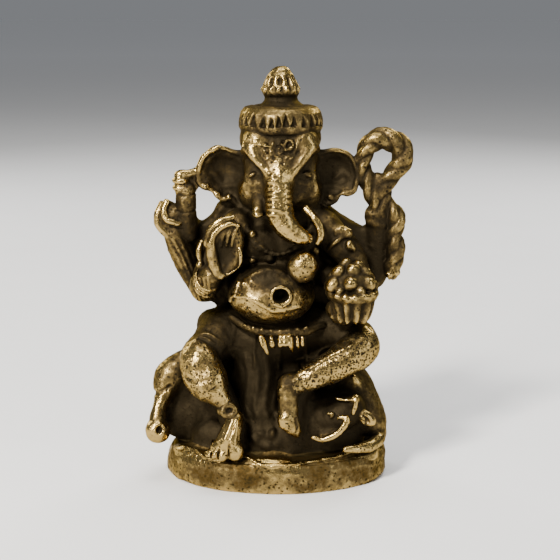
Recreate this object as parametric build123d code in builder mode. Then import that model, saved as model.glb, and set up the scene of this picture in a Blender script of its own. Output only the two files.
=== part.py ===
from build123d import *
import os
from itertools import pairwise
from math import cos, radians, sin

# A small solid-cast brass figurine: an elephant-headed, four-armed seated deity on an oval plinth.
#
# Millimetres.  +Z is up, -Y is the way the figure faces, and +X is the figure's left, which is the
# viewer's right.  The origin is the middle of the plinth's flat underside.
#
# The figure is cast in one pour, so nothing in it moves.  Its wax pattern is built up from separately
# formed pieces, and those pieces are the nodes here.  A piece that is laid on another is cut to it, so
# that the two meet face to face.

os.makedirs("parts", exist_ok=True)

# ---------------------------------------------------------------- driving dimensions
PLINTH_HALF_WIDTH = 13.6
PLINTH_HALF_DEPTH = 9.4
PLINTH_HEIGHT = 3.4
GROUND_TOP = 4.0  # top of the low mound that lies on the plinth
SEAT_CENTRE_Y = 1.0
HEAD_CENTRE = (0.4, 0.2, 37.6)
CROWN_AXIS = (0.35, 0.4)  # X and Y of the crown's upright axis
CROWN_BASE_Z = 42.1
FIGURE_TOP_Z = 50.1
JOINT_SWELL = 1.08  # a joint's ball is this much fuller than the limb that meets it

# ---------------------------------------------------------------- landmarks of the figure
HIPS = (-0.2, 0.4, 17.6)
RIGHT_HIP, RIGHT_KNEE, RIGHT_ANKLE = (-5.0, -0.6, 18.4), (-9.5, -5.0, 15.6), (-6.5, -7.0, 11.0)
LEFT_HIP, LEFT_KNEE, LEFT_ANKLE = (5.0, -0.6, 18.4), (10.7, -4.6, 16.9), (2.7, -7.6, 13.6)
CHEST = (0.2, 0.3, 27.4)
BELLY = (-0.7, -3.0, 23.2)
RIGHT_BACK_SHOULDER, LEFT_BACK_SHOULDER = (-5.2, 1.4, 30.6), (5.6, 1.4, 30.8)
RIGHT_BACK_ELBOW, LEFT_BACK_ELBOW = (-9.1, 1.0, 23.9), (11.9, 1.8, 24.6)
RIGHT_BACK_WRIST, LEFT_BACK_WRIST = (-12.0, 0.3, 29.6), (12.3, 1.0, 30.0)
RIGHT_FRONT_SHOULDER, LEFT_FRONT_SHOULDER = (-5.4, -1.4, 30.2), (6.0, -1.4, 30.2)
RIGHT_FRONT_ELBOW, LEFT_FRONT_ELBOW = (-8.9, -2.6, 24.0), (9.6, -2.4, 26.2)
RIGHT_FRONT_WRIST, LEFT_FRONT_WRIST = (-7.7, -4.3, 25.6), (8.9, -4.4, 22.1)
BOWL_AXIS = (8.8, -6.4)
BOWL_BASE_Z, BOWL_RIM_Z = 20.6, 24.2
BOWL_BASE_RADIUS, BOWL_RIM_RADIUS = 1.9, 2.95


# ---------------------------------------------------------------- shapes the pieces are made of
def ball(centre, radius, mode=Mode.ADD):
    """A sphere."""
    with Locations(centre):
        Sphere(radius, mode=mode)


def egg(centre, radii, turn=(0, 0, 0), mode=Mode.ADD):
    """An ellipsoid, turned by three angles in degrees."""
    stretched = scale(Sphere(1, mode=Mode.PRIVATE), by=radii, mode=Mode.PRIVATE)
    add(Location(centre, turn) * stretched, mode=mode)


def bone(start, end, start_radius, end_radius, mode=Mode.ADD):
    """A round bar between two points that tapers from one radius to the other."""
    run = Vector(*end) - Vector(*start)
    with Locations(Plane(origin=start, z_dir=run)):
        if abs(start_radius - end_radius) < 0.01:
            Cylinder(start_radius, run.length, align=(Align.CENTER, Align.CENTER, Align.MIN), mode=mode)
        else:
            standing = (Align.CENTER, Align.CENTER, Align.MIN)
            Cone(start_radius, end_radius, run.length, align=standing, mode=mode)


def limb(*joints):
    """Tapering bars from joint to joint, with a ball at each.  A joint is ((x, y, z), radius)."""
    for (start, start_radius), (end, end_radius) in pairwise(joints):
        bone(start, end, start_radius, end_radius)
    for centre, radius in joints:
        ball(centre, radius * JOINT_SWELL)


def ring(centre, axis, major, minor):
    """A round ring."""
    with Locations(Plane(origin=centre, z_dir=axis)):
        Torus(major, minor)


def cut_to(*neighbours):
    """Takes the neighbours' space out of the piece being built, so that they meet face to face."""
    for neighbour in neighbours:
        add(neighbour.part, mode=Mode.SUBTRACT)


# ---------------------------------------------------------------- plinth and seat
with BuildPart() as plinth:
    with BuildSketch():
        Ellipse(PLINTH_HALF_WIDTH, PLINTH_HALF_DEPTH)
    extrude(amount=PLINTH_HEIGHT)
    fillet(plinth.edges().group_by(Axis.Z)[-1], radius=0.5)
    chamfer(plinth.edges().group_by(Axis.Z)[0], length=0.2)

with BuildPart() as ground:
    with BuildSketch(Plane.XY.offset(PLINTH_HEIGHT)):
        Ellipse(PLINTH_HALF_WIDTH - 0.7, PLINTH_HALF_DEPTH - 0.7)
    extrude(amount=GROUND_TOP - PLINTH_HEIGHT)
    fillet(ground.edges().group_by(Axis.Z)[-1], radius=0.3)

SEAT_LEVELS = [(4.0, 10.8, 7.0), (7.0, 12.3, 7.6), (10.5, 10.9, 6.9), (14.0, 8.0, 5.6)]
with BuildPart() as seat:
    for level, half_width, half_depth in SEAT_LEVELS:
        with BuildSketch(Plane.XY.offset(level)):
            with Locations((0, SEAT_CENTRE_Y)):
                Ellipse(half_width, half_depth)
    loft()

with BuildPart() as seat_left_rim:
    limb(((10.5, 0.2, 12.6), 0.6), ((12.5, -0.6, 9.2), 0.8), ((13.1, -1.6, 6.4), 0.95))
    cut_to(seat)

with BuildPart() as seat_front_rim:
    with BuildLine() as rim_path:
        FilletPolyline((12.7, -3.4, 4.75), (11.2, -5.7, 4.75), (8.3, -7.2, 4.75), radius=2.0)
    with BuildSketch(Plane(origin=rim_path.line @ 0, z_dir=rim_path.line % 0)):
        Circle(0.75)
    sweep()

with BuildPart() as seat_right_roll:
    upper_roll = (((-11.2, 0.6, 13.6), 1.2), ((-13.4, 0.1, 11.5), 1.6))
    lower_roll = (((-14.4, -1.4, 8.8), 1.1), ((-14.4, -2.6, 7.1), 1.1))
    limb(*upper_roll, *lower_roll)
    cut_to(seat)

with BuildPart() as roll_end:
    ball((-14.4, -2.9, 6.2), 1.5)
    bone((-14.2, -5.0, 6.0), (-14.3, -3.6, 6.1), 0.4, 0.45, mode=Mode.SUBTRACT)
    cut_to(seat_right_roll, seat)

# ---------------------------------------------------------------- hips, legs and feet
with BuildPart() as hips:
    egg(HIPS, (8.4, 5.2, 4.0))
    cut_to(seat)

with BuildPart() as right_thigh:
    limb((RIGHT_HIP, 3.1), ((-8.6, -3.9, 16.6), 2.5))
    cut_to(hips, seat)

with BuildPart() as right_shin:
    limb((RIGHT_KNEE, 2.2), ((-8.3, -6.2, 13.0), 1.8), (RIGHT_ANKLE, 1.0))
    cut_to(right_thigh, hips, seat)

with BuildPart() as right_anklet:
    ball((-6.0, -7.4, 10.1), 1.1)
    bone((-5.6, -8.8, 10.3), (-5.8, -7.9, 10.2), 0.35, 0.3, mode=Mode.SUBTRACT)
    cut_to(right_shin, seat)

with BuildPart() as right_foot:
    limb(((-5.6, -7.3, 9.1), 0.85), ((-6.0, -7.7, 5.7), 1.3))
    cut_to(right_anklet, seat)

with BuildPart() as right_toes:
    for toe, toe_radius in (((-5.2, -8.3, 5.1), 0.8), ((-6.7, -8.4, 5.0), 0.6), ((-7.7, -7.7, 4.9), 0.5)):
        ball(toe, toe_radius)
    cut_to(right_foot)

with BuildPart() as left_thigh:
    limb((LEFT_HIP, 3.1), ((9.2, -3.2, 17.5), 2.5))
    cut_to(hips, seat)

with BuildPart() as left_shin:
    limb((LEFT_KNEE, 2.2), ((6.9, -6.2, 15.3), 1.6), (LEFT_ANKLE, 1.05))
    cut_to(left_thigh, hips, seat)

with BuildPart() as left_anklet:
    limb(((1.2, -7.7, 12.9), 1.2), ((1.15, -7.8, 11.0), 1.25))
    cut_to(left_shin, seat)

with BuildPart() as left_foot:
    limb(((1.25, -7.9, 9.9), 1.15), ((1.5, -8.1, 8.0), 1.2))
    cut_to(left_anklet, seat)

# ---------------------------------------------------------------- mouse beside the seat
with BuildPart() as mouse_body:
    egg((7.6, -5.9, 8.3), (3.4, 2.0, 2.3), (0, -12, 0))
    cut_to(seat, left_foot)

with BuildPart() as mouse_ears:
    egg((10.6, -6.2, 8.6), (1.2, 0.7, 1.0), (0, 30, 0))
    egg((8.9, -7.1, 10.1), (0.45, 0.5, 0.9))
    cut_to(mouse_body, seat)

with BuildPart() as mouse_tail:
    with BuildLine() as tail_path:
        FilletPolyline((7.6, -8.0, 8.0), (7.0, -8.1, 6.4), (4.2, -8.1, 6.2), radius=0.8)
    with BuildSketch(Plane(origin=tail_path.line @ 0, z_dir=tail_path.line % 0)):
        Circle(0.4)
    sweep()

# ---------------------------------------------------------------- trunk of the body
with BuildPart() as belly:
    egg(BELLY, (5.3, 4.7, 3.9), (0, 4, 0))
    bone((0.45, -8.6, 24.0), (0.1, -5.8, 23.9), 1.0, 0.8, mode=Mode.SUBTRACT)
    cut_to(hips, right_thigh, left_thigh)

with BuildPart() as chest:
    egg(CHEST, (6.2, 4.0, 6.2))
    cut_to(belly, hips)

with BuildPart() as belt:
    with BuildLine() as belt_path:
        ThreePointArc((-5.2, -3.9, 19.9), (0.0, -6.3, 19.2), (5.2, -4.0, 19.4))
    with BuildSketch(Plane(origin=belt_path.line @ 0, z_dir=belt_path.line % 0)):
        Circle(0.62)
    sweep()
    cut_to(belly, hips, chest, right_thigh, left_thigh)

PLEAT_PITCH = 1.05
with BuildPart() as pleats:
    for step in range(-3, 4):
        across = step * PLEAT_PITCH
        front = -5.7 + 0.07 * step * step
        bone((across, front, 18.6), (across + 0.1, front - 0.15, 16.9), 0.5, 0.3)
    cut_to(belt, hips, right_thigh, left_thigh, seat)

with BuildPart() as necklace:
    with BuildLine() as necklace_path:
        ThreePointArc((-3.9, -2.5, 31.0), (0.1, -4.1, 28.4), (4.2, -2.5, 31.0))
    with BuildSketch(Plane(origin=necklace_path.line @ 0, z_dir=necklace_path.line % 0)):
        Circle(0.45)
    sweep()
    cut_to(chest, belly)

with BuildPart() as modak:
    ball((3.0, -5.9, 27.0), 1.7)
    bone((3.0, -5.4, 27.0), (2.8, -2.4, 27.0), 1.1, 1.3)
    cut_to(chest, belly)

# ---------------------------------------------------------------- head and crown
with BuildPart() as head:
    egg(HEAD_CENTRE, (4.8, 4.3, 4.9))
    cut_to(chest, necklace)

CROWN_BAND_PROFILE = [(4.3, 0.0), (4.95, 0.5), (4.95, 2.1), (4.3, 2.9), (2.9, 3.2)]
with BuildPart() as crown_band:
    with BuildSketch(Plane.XZ.offset(-CROWN_AXIS[1])):
        with BuildLine():
            Polyline(
                [(CROWN_AXIS[0], CROWN_BASE_Z)]
                + [(CROWN_AXIS[0] + r, CROWN_BASE_Z + z) for r, z in CROWN_BAND_PROFILE]
                + [(CROWN_AXIS[0], CROWN_BASE_Z + CROWN_BAND_PROFILE[-1][1])],
                close=True,
            )
        make_face()
    revolve(axis=Axis((*CROWN_AXIS, 0), (0, 0, 1)))
    cut_to(head)

FINIAL_BASE_Z = CROWN_BASE_Z + CROWN_BAND_PROFILE[-1][1]
with BuildPart() as crown_finial:
    with BuildSketch(Plane.XZ.offset(-CROWN_AXIS[1])):
        with BuildLine():
            top, foot = (CROWN_AXIS[0], FIGURE_TOP_Z), (CROWN_AXIS[0], FINIAL_BASE_Z)
            Polyline(top, foot, (CROWN_AXIS[0] + 2.6, FINIAL_BASE_Z))
            Line((CROWN_AXIS[0] + 2.6, FINIAL_BASE_Z), (CROWN_AXIS[0] + 1.95, FINIAL_BASE_Z + 0.9))
            Spline(
                (CROWN_AXIS[0] + 1.95, FINIAL_BASE_Z + 0.9),
                (CROWN_AXIS[0] + 2.3, FINIAL_BASE_Z + 1.9),
                (CROWN_AXIS[0] + 1.5, FINIAL_BASE_Z + 3.7),
                (CROWN_AXIS[0], FIGURE_TOP_Z),
            )
        make_face()
    revolve(axis=Axis((*CROWN_AXIS, 0), (0, 0, 1)))

EAR_THICKNESS = 1.5


def ear(outline):
    """A flap cut to a smooth closed outline of (x, z) points and thickened along Y."""
    with BuildSketch(Plane.XZ.offset(-0.2)) as flap:
        with BuildLine():
            Spline(*outline, periodic=True)
        make_face()
    extrude(flap.sketch, amount=EAR_THICKNESS / 2, both=True)
    fillet(faces().sort_by(Axis.Y)[0].edges(), radius=0.35)
    fillet(faces().sort_by(Axis.Y)[-1].edges(), radius=0.35)


with BuildPart() as right_ear:
    ear([(-3.6, 39.6), (-6.8, 40.3), (-9.2, 39.0), (-9.7, 36.6), (-8.3, 34.9), (-6.2, 33.6), (-3.6, 33.6)])
    cut_to(head, chest, crown_band)

with BuildPart() as left_ear:
    ear([(4.3, 39.4), (7.0, 40.1), (9.2, 39.3), (9.7, 36.6), (8.6, 34.6), (6.5, 33.6), (4.4, 33.8)])
    cut_to(head, chest, crown_band)

with BuildPart() as trunk:
    limb(
        ((0.35, -3.7, 37.6), 1.7),
        ((0.0, -4.9, 34.8), 1.8),
        ((0.3, -5.7, 32.7), 1.55),
        ((1.6, -6.1, 31.2), 1.3),
        ((3.1, -5.9, 30.5), 0.95),
    )
    cut_to(head, chest, belly, necklace)

with BuildPart() as brow_ridges:
    limb(((-3.5, -2.9, 40.4), 0.45), ((-2.1, -3.9, 39.4), 0.45), ((-0.9, -4.6, 38.0), 0.4))
    limb(((4.3, -2.9, 40.5), 0.45), ((2.9, -3.9, 39.4), 0.45), ((1.6, -4.6, 38.0), 0.4))
    cut_to(head, trunk, crown_band)

with BuildPart() as forehead_jewel:
    ring((1.3, -3.7, 41.1), (0.2, -1, 0.6), 0.6, 0.3)
    cut_to(head, crown_band)

with BuildPart() as left_tusk:
    root, bend = ((3.5, -3.7, 33.6), 0.5), ((4.8, -4.5, 32.3), 0.55)
    middle, tip = ((5.2, -5.1, 31.0), 0.5), ((4.8, -5.4, 29.7), 0.4)
    limb(root, bend, middle, tip)
    cut_to(head, chest, trunk)

with BuildPart() as right_tusk:
    limb(((-1.6, -3.6, 34.0), 1.0), ((-2.1, -4.5, 33.1), 0.65))
    cut_to(head, chest, trunk)

# ---------------------------------------------------------------- back pair of arms
with BuildPart() as right_back_arm:
    limb((RIGHT_BACK_SHOULDER, 2.0), (RIGHT_BACK_ELBOW, 1.7), (RIGHT_BACK_WRIST, 1.45))
    cut_to(chest, belly, head, right_ear)

with BuildPart() as left_back_arm:
    limb((LEFT_BACK_SHOULDER, 2.0), (LEFT_BACK_ELBOW, 1.6), (LEFT_BACK_WRIST, 1.4))
    cut_to(chest, belly, head, left_ear)

with BuildPart() as axe_handle:
    limb(((-11.1, -0.6, 30.2), 0.85), ((-11.3, -0.4, 35.0), 0.85))
    cut_to(right_back_arm, right_ear)

with BuildPart() as axe_head:
    ring((-11.8, -0.3, 36.1), (0, 0, 1), 0.55, 0.4)
    ball((-11.8, -0.3, 36.8), 0.75)
    bone((-11.6, -0.3, 36.9), (-9.9, 0.1, 37.1), 0.6, 0.8)
    cut_to(axe_handle, right_ear)

with BuildPart() as right_back_hand:
    egg((-13.0, -0.2, 31.7), (1.75, 1.5, 2.3), (0, -12, 0))
    cut_to(axe_handle, right_back_arm)

with BuildPart() as noose_loop:
    ring((12.45, 0.0, 38.9), (0, 1, 0), 2.5, 1.25)
    limb(((10.3, 0.0, 37.4), 1.1), ((11.6, 0.0, 33.8), 1.1))
    limb(((14.5, 0.0, 37.2), 1.15), ((12.9, 0.0, 33.8), 1.1))
    cut_to(left_ear, left_back_arm)

with BuildPart() as left_back_hand:
    egg((12.2, 0.3, 32.0), (1.6, 1.5, 1.6))
    cut_to(noose_loop, left_back_arm)

with BuildPart() as noose_tail:
    egg((14.2, 0.1, 31.4), (1.25, 1.1, 1.9), (0, -15, 0))
    egg((14.6, 0.1, 28.4), (1.2, 1.1, 1.8))
    egg((14.1, 0.1, 25.7), (1.1, 1.0, 1.5), (0, 10, 0))
    cut_to(left_back_hand, left_back_arm, noose_loop)

# ---------------------------------------------------------------- front pair of arms
with BuildPart() as right_front_arm:
    limb((RIGHT_FRONT_SHOULDER, 1.9), (RIGHT_FRONT_ELBOW, 1.6), (RIGHT_FRONT_WRIST, 1.3))
    cut_to(chest, belly, right_back_arm, head, right_ear, necklace)

with BuildPart() as right_bracelet:
    bone((-8.4, -3.35, 24.7), (-8.15, -3.75, 25.05), 1.75, 1.7)
    cut_to(right_front_arm, right_back_arm)

with BuildPart() as right_front_hand:
    egg((-6.3, -5.0, 28.8), (1.9, 1.1, 3.5), (0, 10, 0))
    egg((-6.1, -6.2, 28.6), (1.1, 0.7, 2.4), (0, 10, 0), mode=Mode.SUBTRACT)
    limb(((-5.0, -5.4, 26.8), 0.45), ((-4.5, -5.8, 28.9), 0.4))
    cut_to(right_front_arm, right_bracelet, chest, belly, trunk)

with BuildPart() as left_front_arm:
    limb((LEFT_FRONT_SHOULDER, 1.9), (LEFT_FRONT_ELBOW, 1.6), (LEFT_FRONT_WRIST, 1.3))
    cut_to(chest, belly, left_back_arm, head, left_ear, necklace)

with BuildPart() as left_armlet:
    bone((7.1, -1.7, 29.0), (7.6, -1.85, 28.4), 2.15, 2.1)
    cut_to(left_front_arm, left_back_arm, chest)

with BuildPart() as bowl:
    with BuildSketch(Plane.XZ.offset(-BOWL_AXIS[1])):
        with BuildLine():
            Polyline(
                (BOWL_AXIS[0], BOWL_RIM_Z - 0.6),
                (BOWL_AXIS[0], BOWL_BASE_Z),
                (BOWL_AXIS[0] + BOWL_BASE_RADIUS, BOWL_BASE_Z),
                (BOWL_AXIS[0] + BOWL_RIM_RADIUS - 0.3, BOWL_RIM_Z - 0.7),
                (BOWL_AXIS[0] + BOWL_RIM_RADIUS, BOWL_RIM_Z - 0.5),
                (BOWL_AXIS[0] + BOWL_RIM_RADIUS, BOWL_RIM_Z),
                (BOWL_AXIS[0] + BOWL_RIM_RADIUS - 0.5, BOWL_RIM_Z),
                (BOWL_AXIS[0] + BOWL_RIM_RADIUS - 0.8, BOWL_RIM_Z - 0.6),
                close=True,
            )
        make_face()
    revolve(axis=Axis((*BOWL_AXIS, 0), (0, 0, 1)))
    cut_to(left_front_arm, left_thigh, left_shin)

SWEET_RADIUS = 0.72
# each ring of sweets: start angle, count, ring radius, height
SWEET_RINGS = [(10, 6, 1.5, 24.35), (35, 3, 0.87, 25.6), (0, 1, 0.0, 26.82)]
with BuildPart() as sweets:
    for start, count, spread, level in SWEET_RINGS:
        for turn in range(count):
            angle = radians(start + 360 * turn / count)
            ball((BOWL_AXIS[0] + spread * cos(angle), BOWL_AXIS[1] + spread * sin(angle), level), SWEET_RADIUS)
    cut_to(bowl, left_front_arm)

with BuildPart() as left_front_hand:
    egg((7.6, -5.3, 21.2), (2.3, 1.9, 1.5), (0, 25, 0))
    cut_to(bowl, left_front_arm, belly, left_thigh, left_shin, belt)

# ---------------------------------------------------------------- write each piece
PIECES = {
    "plinth": plinth,
    "ground": ground,
    "seat": seat,
    "seat_left_rim": seat_left_rim,
    "seat_front_rim": seat_front_rim,
    "seat_right_roll": seat_right_roll,
    "roll_end": roll_end,
    "hips": hips,
    "right_thigh": right_thigh,
    "right_shin": right_shin,
    "right_anklet": right_anklet,
    "right_foot": right_foot,
    "right_toes": right_toes,
    "left_thigh": left_thigh,
    "left_shin": left_shin,
    "left_anklet": left_anklet,
    "left_foot": left_foot,
    "mouse_body": mouse_body,
    "mouse_ears": mouse_ears,
    "mouse_tail": mouse_tail,
    "belly": belly,
    "chest": chest,
    "belt": belt,
    "pleats": pleats,
    "necklace": necklace,
    "modak": modak,
    "head": head,
    "crown_band": crown_band,
    "crown_finial": crown_finial,
    "right_ear": right_ear,
    "left_ear": left_ear,
    "trunk": trunk,
    "brow_ridges": brow_ridges,
    "forehead_jewel": forehead_jewel,
    "left_tusk": left_tusk,
    "right_tusk": right_tusk,
    "right_back_arm": right_back_arm,
    "right_back_hand": right_back_hand,
    "axe_handle": axe_handle,
    "axe_head": axe_head,
    "left_back_arm": left_back_arm,
    "left_back_hand": left_back_hand,
    "noose_loop": noose_loop,
    "noose_tail": noose_tail,
    "right_front_arm": right_front_arm,
    "right_bracelet": right_bracelet,
    "right_front_hand": right_front_hand,
    "left_front_arm": left_front_arm,
    "left_armlet": left_armlet,
    "left_front_hand": left_front_hand,
    "bowl": bowl,
    "sweets": sweets,
}
for label, piece in PIECES.items():
    piece.part.label = label
    export_step(piece.part, f"parts/{label}.step")
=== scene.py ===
"""The looks of a small cast brass figurine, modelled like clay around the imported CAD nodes.

Every CAD node is replaced by a sculpted piece.  All the pieces are modelled together in one block of
space, a grid that holds the distance to the metal, so that they run into each other as the wax pattern's
pieces do in a casting.  Each piece then gets its own closed mesh.  Sculpting is in millimetres.
"""

import math

import bpy
import numpy as np
from mathutils import Matrix, Vector


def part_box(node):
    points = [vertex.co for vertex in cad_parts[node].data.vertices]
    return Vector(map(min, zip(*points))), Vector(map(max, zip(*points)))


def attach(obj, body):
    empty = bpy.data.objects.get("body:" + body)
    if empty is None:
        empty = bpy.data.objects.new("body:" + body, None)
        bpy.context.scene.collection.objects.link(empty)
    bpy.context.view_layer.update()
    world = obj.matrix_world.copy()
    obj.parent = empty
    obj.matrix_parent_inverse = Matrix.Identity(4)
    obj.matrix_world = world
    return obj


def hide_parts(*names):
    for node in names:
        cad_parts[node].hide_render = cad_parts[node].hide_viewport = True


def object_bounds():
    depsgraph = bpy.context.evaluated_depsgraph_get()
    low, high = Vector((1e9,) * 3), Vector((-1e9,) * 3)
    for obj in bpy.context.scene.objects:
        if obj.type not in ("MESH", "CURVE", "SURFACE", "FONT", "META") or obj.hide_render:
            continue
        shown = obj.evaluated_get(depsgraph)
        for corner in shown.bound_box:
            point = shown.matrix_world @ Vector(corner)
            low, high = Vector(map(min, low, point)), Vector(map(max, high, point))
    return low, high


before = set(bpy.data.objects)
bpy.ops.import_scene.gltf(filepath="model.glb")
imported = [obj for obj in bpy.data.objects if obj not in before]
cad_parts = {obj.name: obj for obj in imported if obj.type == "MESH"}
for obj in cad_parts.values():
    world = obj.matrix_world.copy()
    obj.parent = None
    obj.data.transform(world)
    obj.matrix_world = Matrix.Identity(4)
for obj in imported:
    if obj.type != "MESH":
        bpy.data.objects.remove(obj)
cad_low, cad_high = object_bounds()

MM = 0.001
VOXEL = 0.14  # spacing of the grid
REACH = 1.2  # how far from a shape its distance is worked out
FAR = 9.0  # stands for "nowhere near"
TINY = 1e-6  # keeps a division away from zero
BUMPS = ((0.055, 1.1, 21), (0.045, 0.5, 22))  # height, width and seed of the casting's own unevenness
FINE, MIDDLE, BROAD = 0.3, 0.45, 1.2  # sizes at which the material is told how proud a spot stands
OVERHEAD = (0.9, 1.6, 2.6)  # how far out from the surface the metal that covers a spot is looked for
TUCK = 0.3  # how far a piece reaches in under its neighbours before it closes
CRUMB = 60  # a loose bit with fewer vertices than this is left out

# ---------------------------------------------------------------- the block of space
low = np.array(cad_low) / MM - REACH
span = np.array(cad_high) / MM + REACH - low
count = np.ceil(span / VOXEL).astype(int) + 1
axes = [(low[i] + VOXEL * np.arange(count[i])).astype(np.float32) for i in range(3)]
metal = np.full(count, REACH, np.float32)  # distance to the metal, negative inside it
mine = np.full(count, FAR, np.float32)  # distance to the piece being sculpted
nearest = np.full(count, FAR, np.float32)  # distance to the nearest piece
second = np.full(count, FAR, np.float32)  # distance to the second nearest
owner = np.full(count, -1, np.int16)  # number of the nearest piece


def stretch(coarse, axis, scale):
    """Spreads a coarse lattice over the grid along one axis, smoothly."""
    place = np.arange(count[axis]) * VOXEL / scale
    step = place.astype(int)
    part = (place - step).astype(np.float32)
    part = part * part * (3 - 2 * part)
    part = part.reshape([-1 if i == axis else 1 for i in range(3)])
    return np.take(coarse, step, axis) * (1 - part) + np.take(coarse, step + 1, axis) * part


def noise(scale, seed):
    """Smooth random values from -1 to 1 all over the grid, which change over about scale millimetres."""
    values = np.random.default_rng(seed).uniform(-1, 1, (span / scale).astype(int) + 3).astype(np.float32)
    for axis in range(3):
        values = stretch(values, axis, scale)
    return values


wobble = [noise(2.6, seed) for seed in (11, 12, 13)]  # bends space a little, as a hand-formed pattern is bent


# ---------------------------------------------------------------- pieces
pieces = []  # name, region, distance to it within the region
touched = []  # the regions that the current piece's shapes fill
shift = np.zeros(3)


def begin(node, centre):
    """Starts a piece.  It is drawn around centre, and moves to where its CAD node's box has its centre."""
    global shift
    close_piece()
    a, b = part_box(node)
    shift = (np.array(a) + np.array(b)) / 2 / MM - np.array(centre)
    pieces.append([node, None, None])


def close_piece():
    """Notes where the finished piece is nearest, and where it is second nearest."""
    if not touched:
        return
    lo = np.min([[s.start for s in r] for r in touched], axis=0)
    hi = np.max([[s.stop for s in r] for r in touched], axis=0)
    region = tuple(slice(a, b) for a, b in zip(lo, hi))
    distance = mine[region].copy()
    first = distance < nearest[region]
    second[region] = np.where(first, nearest[region], np.minimum(second[region], distance))
    nearest[region] = np.minimum(nearest[region], distance)
    owner[region][first] = len(pieces) - 1
    pieces[-1][1:] = region, distance
    mine[region] = FAR
    touched.clear()


def region_of(lo, hi, pad=REACH):
    """The slices of the grid that hold a box and a margin round it."""
    a = np.floor((np.array(lo) - pad - low) / VOXEL).astype(int)
    b = np.ceil((np.array(hi) + pad - low) / VOXEL).astype(int) + 1
    a = np.clip(a, 0, count - 1)
    b = np.clip(b, a + 1, count)
    return tuple(slice(i, j) for i, j in zip(a, b))


def places(region, bend):
    """X, Y and Z of the grid points in a region, bent by the wobble."""
    out = []
    for i in range(3):
        values = axes[i][region[i]].reshape([-1 if j == i else 1 for j in range(3)]) - np.float32(shift[i])
        out.append(values + bend * wobble[i][region] if bend else values)
    return out


def join(region, distance, blend, cut=False):
    """Adds a shape to the metal, or cuts it out, with a fillet of radius blend."""
    old = metal[region]
    if cut:
        distance = -distance
        new = np.maximum(old, distance)
        new += np.maximum(blend - np.abs(old - distance), 0) ** 2 / (4 * blend)
    else:
        new = np.minimum(old, distance)
        new -= np.maximum(blend - np.abs(old - distance), 0) ** 2 / (4 * blend)
        mine[region] = np.minimum(mine[region], distance)
        touched.append(region)
    metal[region] = new


def box_of(points, radius):
    """The lowest and highest corner of some points, each with a radius, where the piece really stands."""
    points = np.array(points, float)
    radius = np.reshape(radius, (-1, 1))
    return (points - radius).min(0) + shift, (points + radius).max(0) + shift


# ---------------------------------------------------------------- shapes
def blob(centre, radii, turn=(0, 0, 0), blend=0.4, cut=False, bend=0.15):
    """An ellipsoid, turned by three angles in degrees."""
    region = region_of(*box_of([centre], max(radii)))
    x, y, z = places(region, bend)
    about = [Matrix.Rotation(math.radians(angle), 3, axis) for angle, axis in zip(turn, "XYZ")]
    m = np.array(about[2] @ about[1] @ about[0])
    x, y, z = x - centre[0], y - centre[1], z - centre[2]
    u, v, w = [(m[0, i] * x + m[1, i] * y + m[2, i] * z) / radii[i] for i in range(3)]
    near = np.sqrt(u * u + v * v + w * w) + 1e-4
    steep = np.sqrt((u / radii[0]) ** 2 + (v / radii[1]) ** 2 + (w / radii[2]) ** 2) + 1e-4
    join(region, near * (near - 1) / steep, blend, cut)


def smooth_path(points, steps=4):
    """More points along a smooth curve.  A point may have more numbers after its place, such as a radius."""
    p = np.array(points, float)
    if len(p) < 3:
        return p
    p = np.vstack([2 * p[0] - p[1], p, 2 * p[-1] - p[-2]])
    out = []
    for a, b, c, d in zip(p[:-3], p[1:-2], p[2:-1], p[3:]):
        for t in np.linspace(0, 1, steps, endpoint=False):
            bent = (2 * a - 5 * b + 4 * c - d) * t**2 + (3 * b - a - 3 * c + d) * t**3
            out.append(0.5 * (2 * b + (c - a) * t + bent))
    return np.array(out + [p[-2]])


def to_segment(x, y, z, a, b):
    """Distance from the places to a straight line from a to b, and how far along it they are."""
    d = b - a
    t = ((x - a[0]) * d[0] + (y - a[1]) * d[1] + (z - a[2]) * d[2]) / max(float(d @ d), TINY)
    t = np.clip(t, 0, 1)
    return np.sqrt((x - a[0] - t * d[0]) ** 2 + (y - a[1] - t * d[1]) ** 2 + (z - a[2] - t * d[2]) ** 2), t


def limb(points, blend=0.4, cut=False, bend=0.15, steps=4):
    """A round bar along a smooth curve.  Each point is (x, y, z, radius)."""
    path = smooth_path(points, steps)
    region = region_of(*box_of(path[:, :3], path[:, 3]))
    distance = np.full([s.stop - s.start for s in region], FAR, np.float32)
    for a, b in zip(path[:-1], path[1:]):
        part = region_of(*box_of([a[:3], b[:3]], [a[3], b[3]]))
        x, y, z = places(part, bend)
        d, t = to_segment(x, y, z, a[:3], b[:3])
        inner = tuple(slice(s.start - r.start, s.stop - r.start) for s, r in zip(part, region))
        distance[inner] = np.minimum(distance[inner], d - (a[3] + (b[3] - a[3]) * t))
    join(region, distance, blend, cut)


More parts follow.
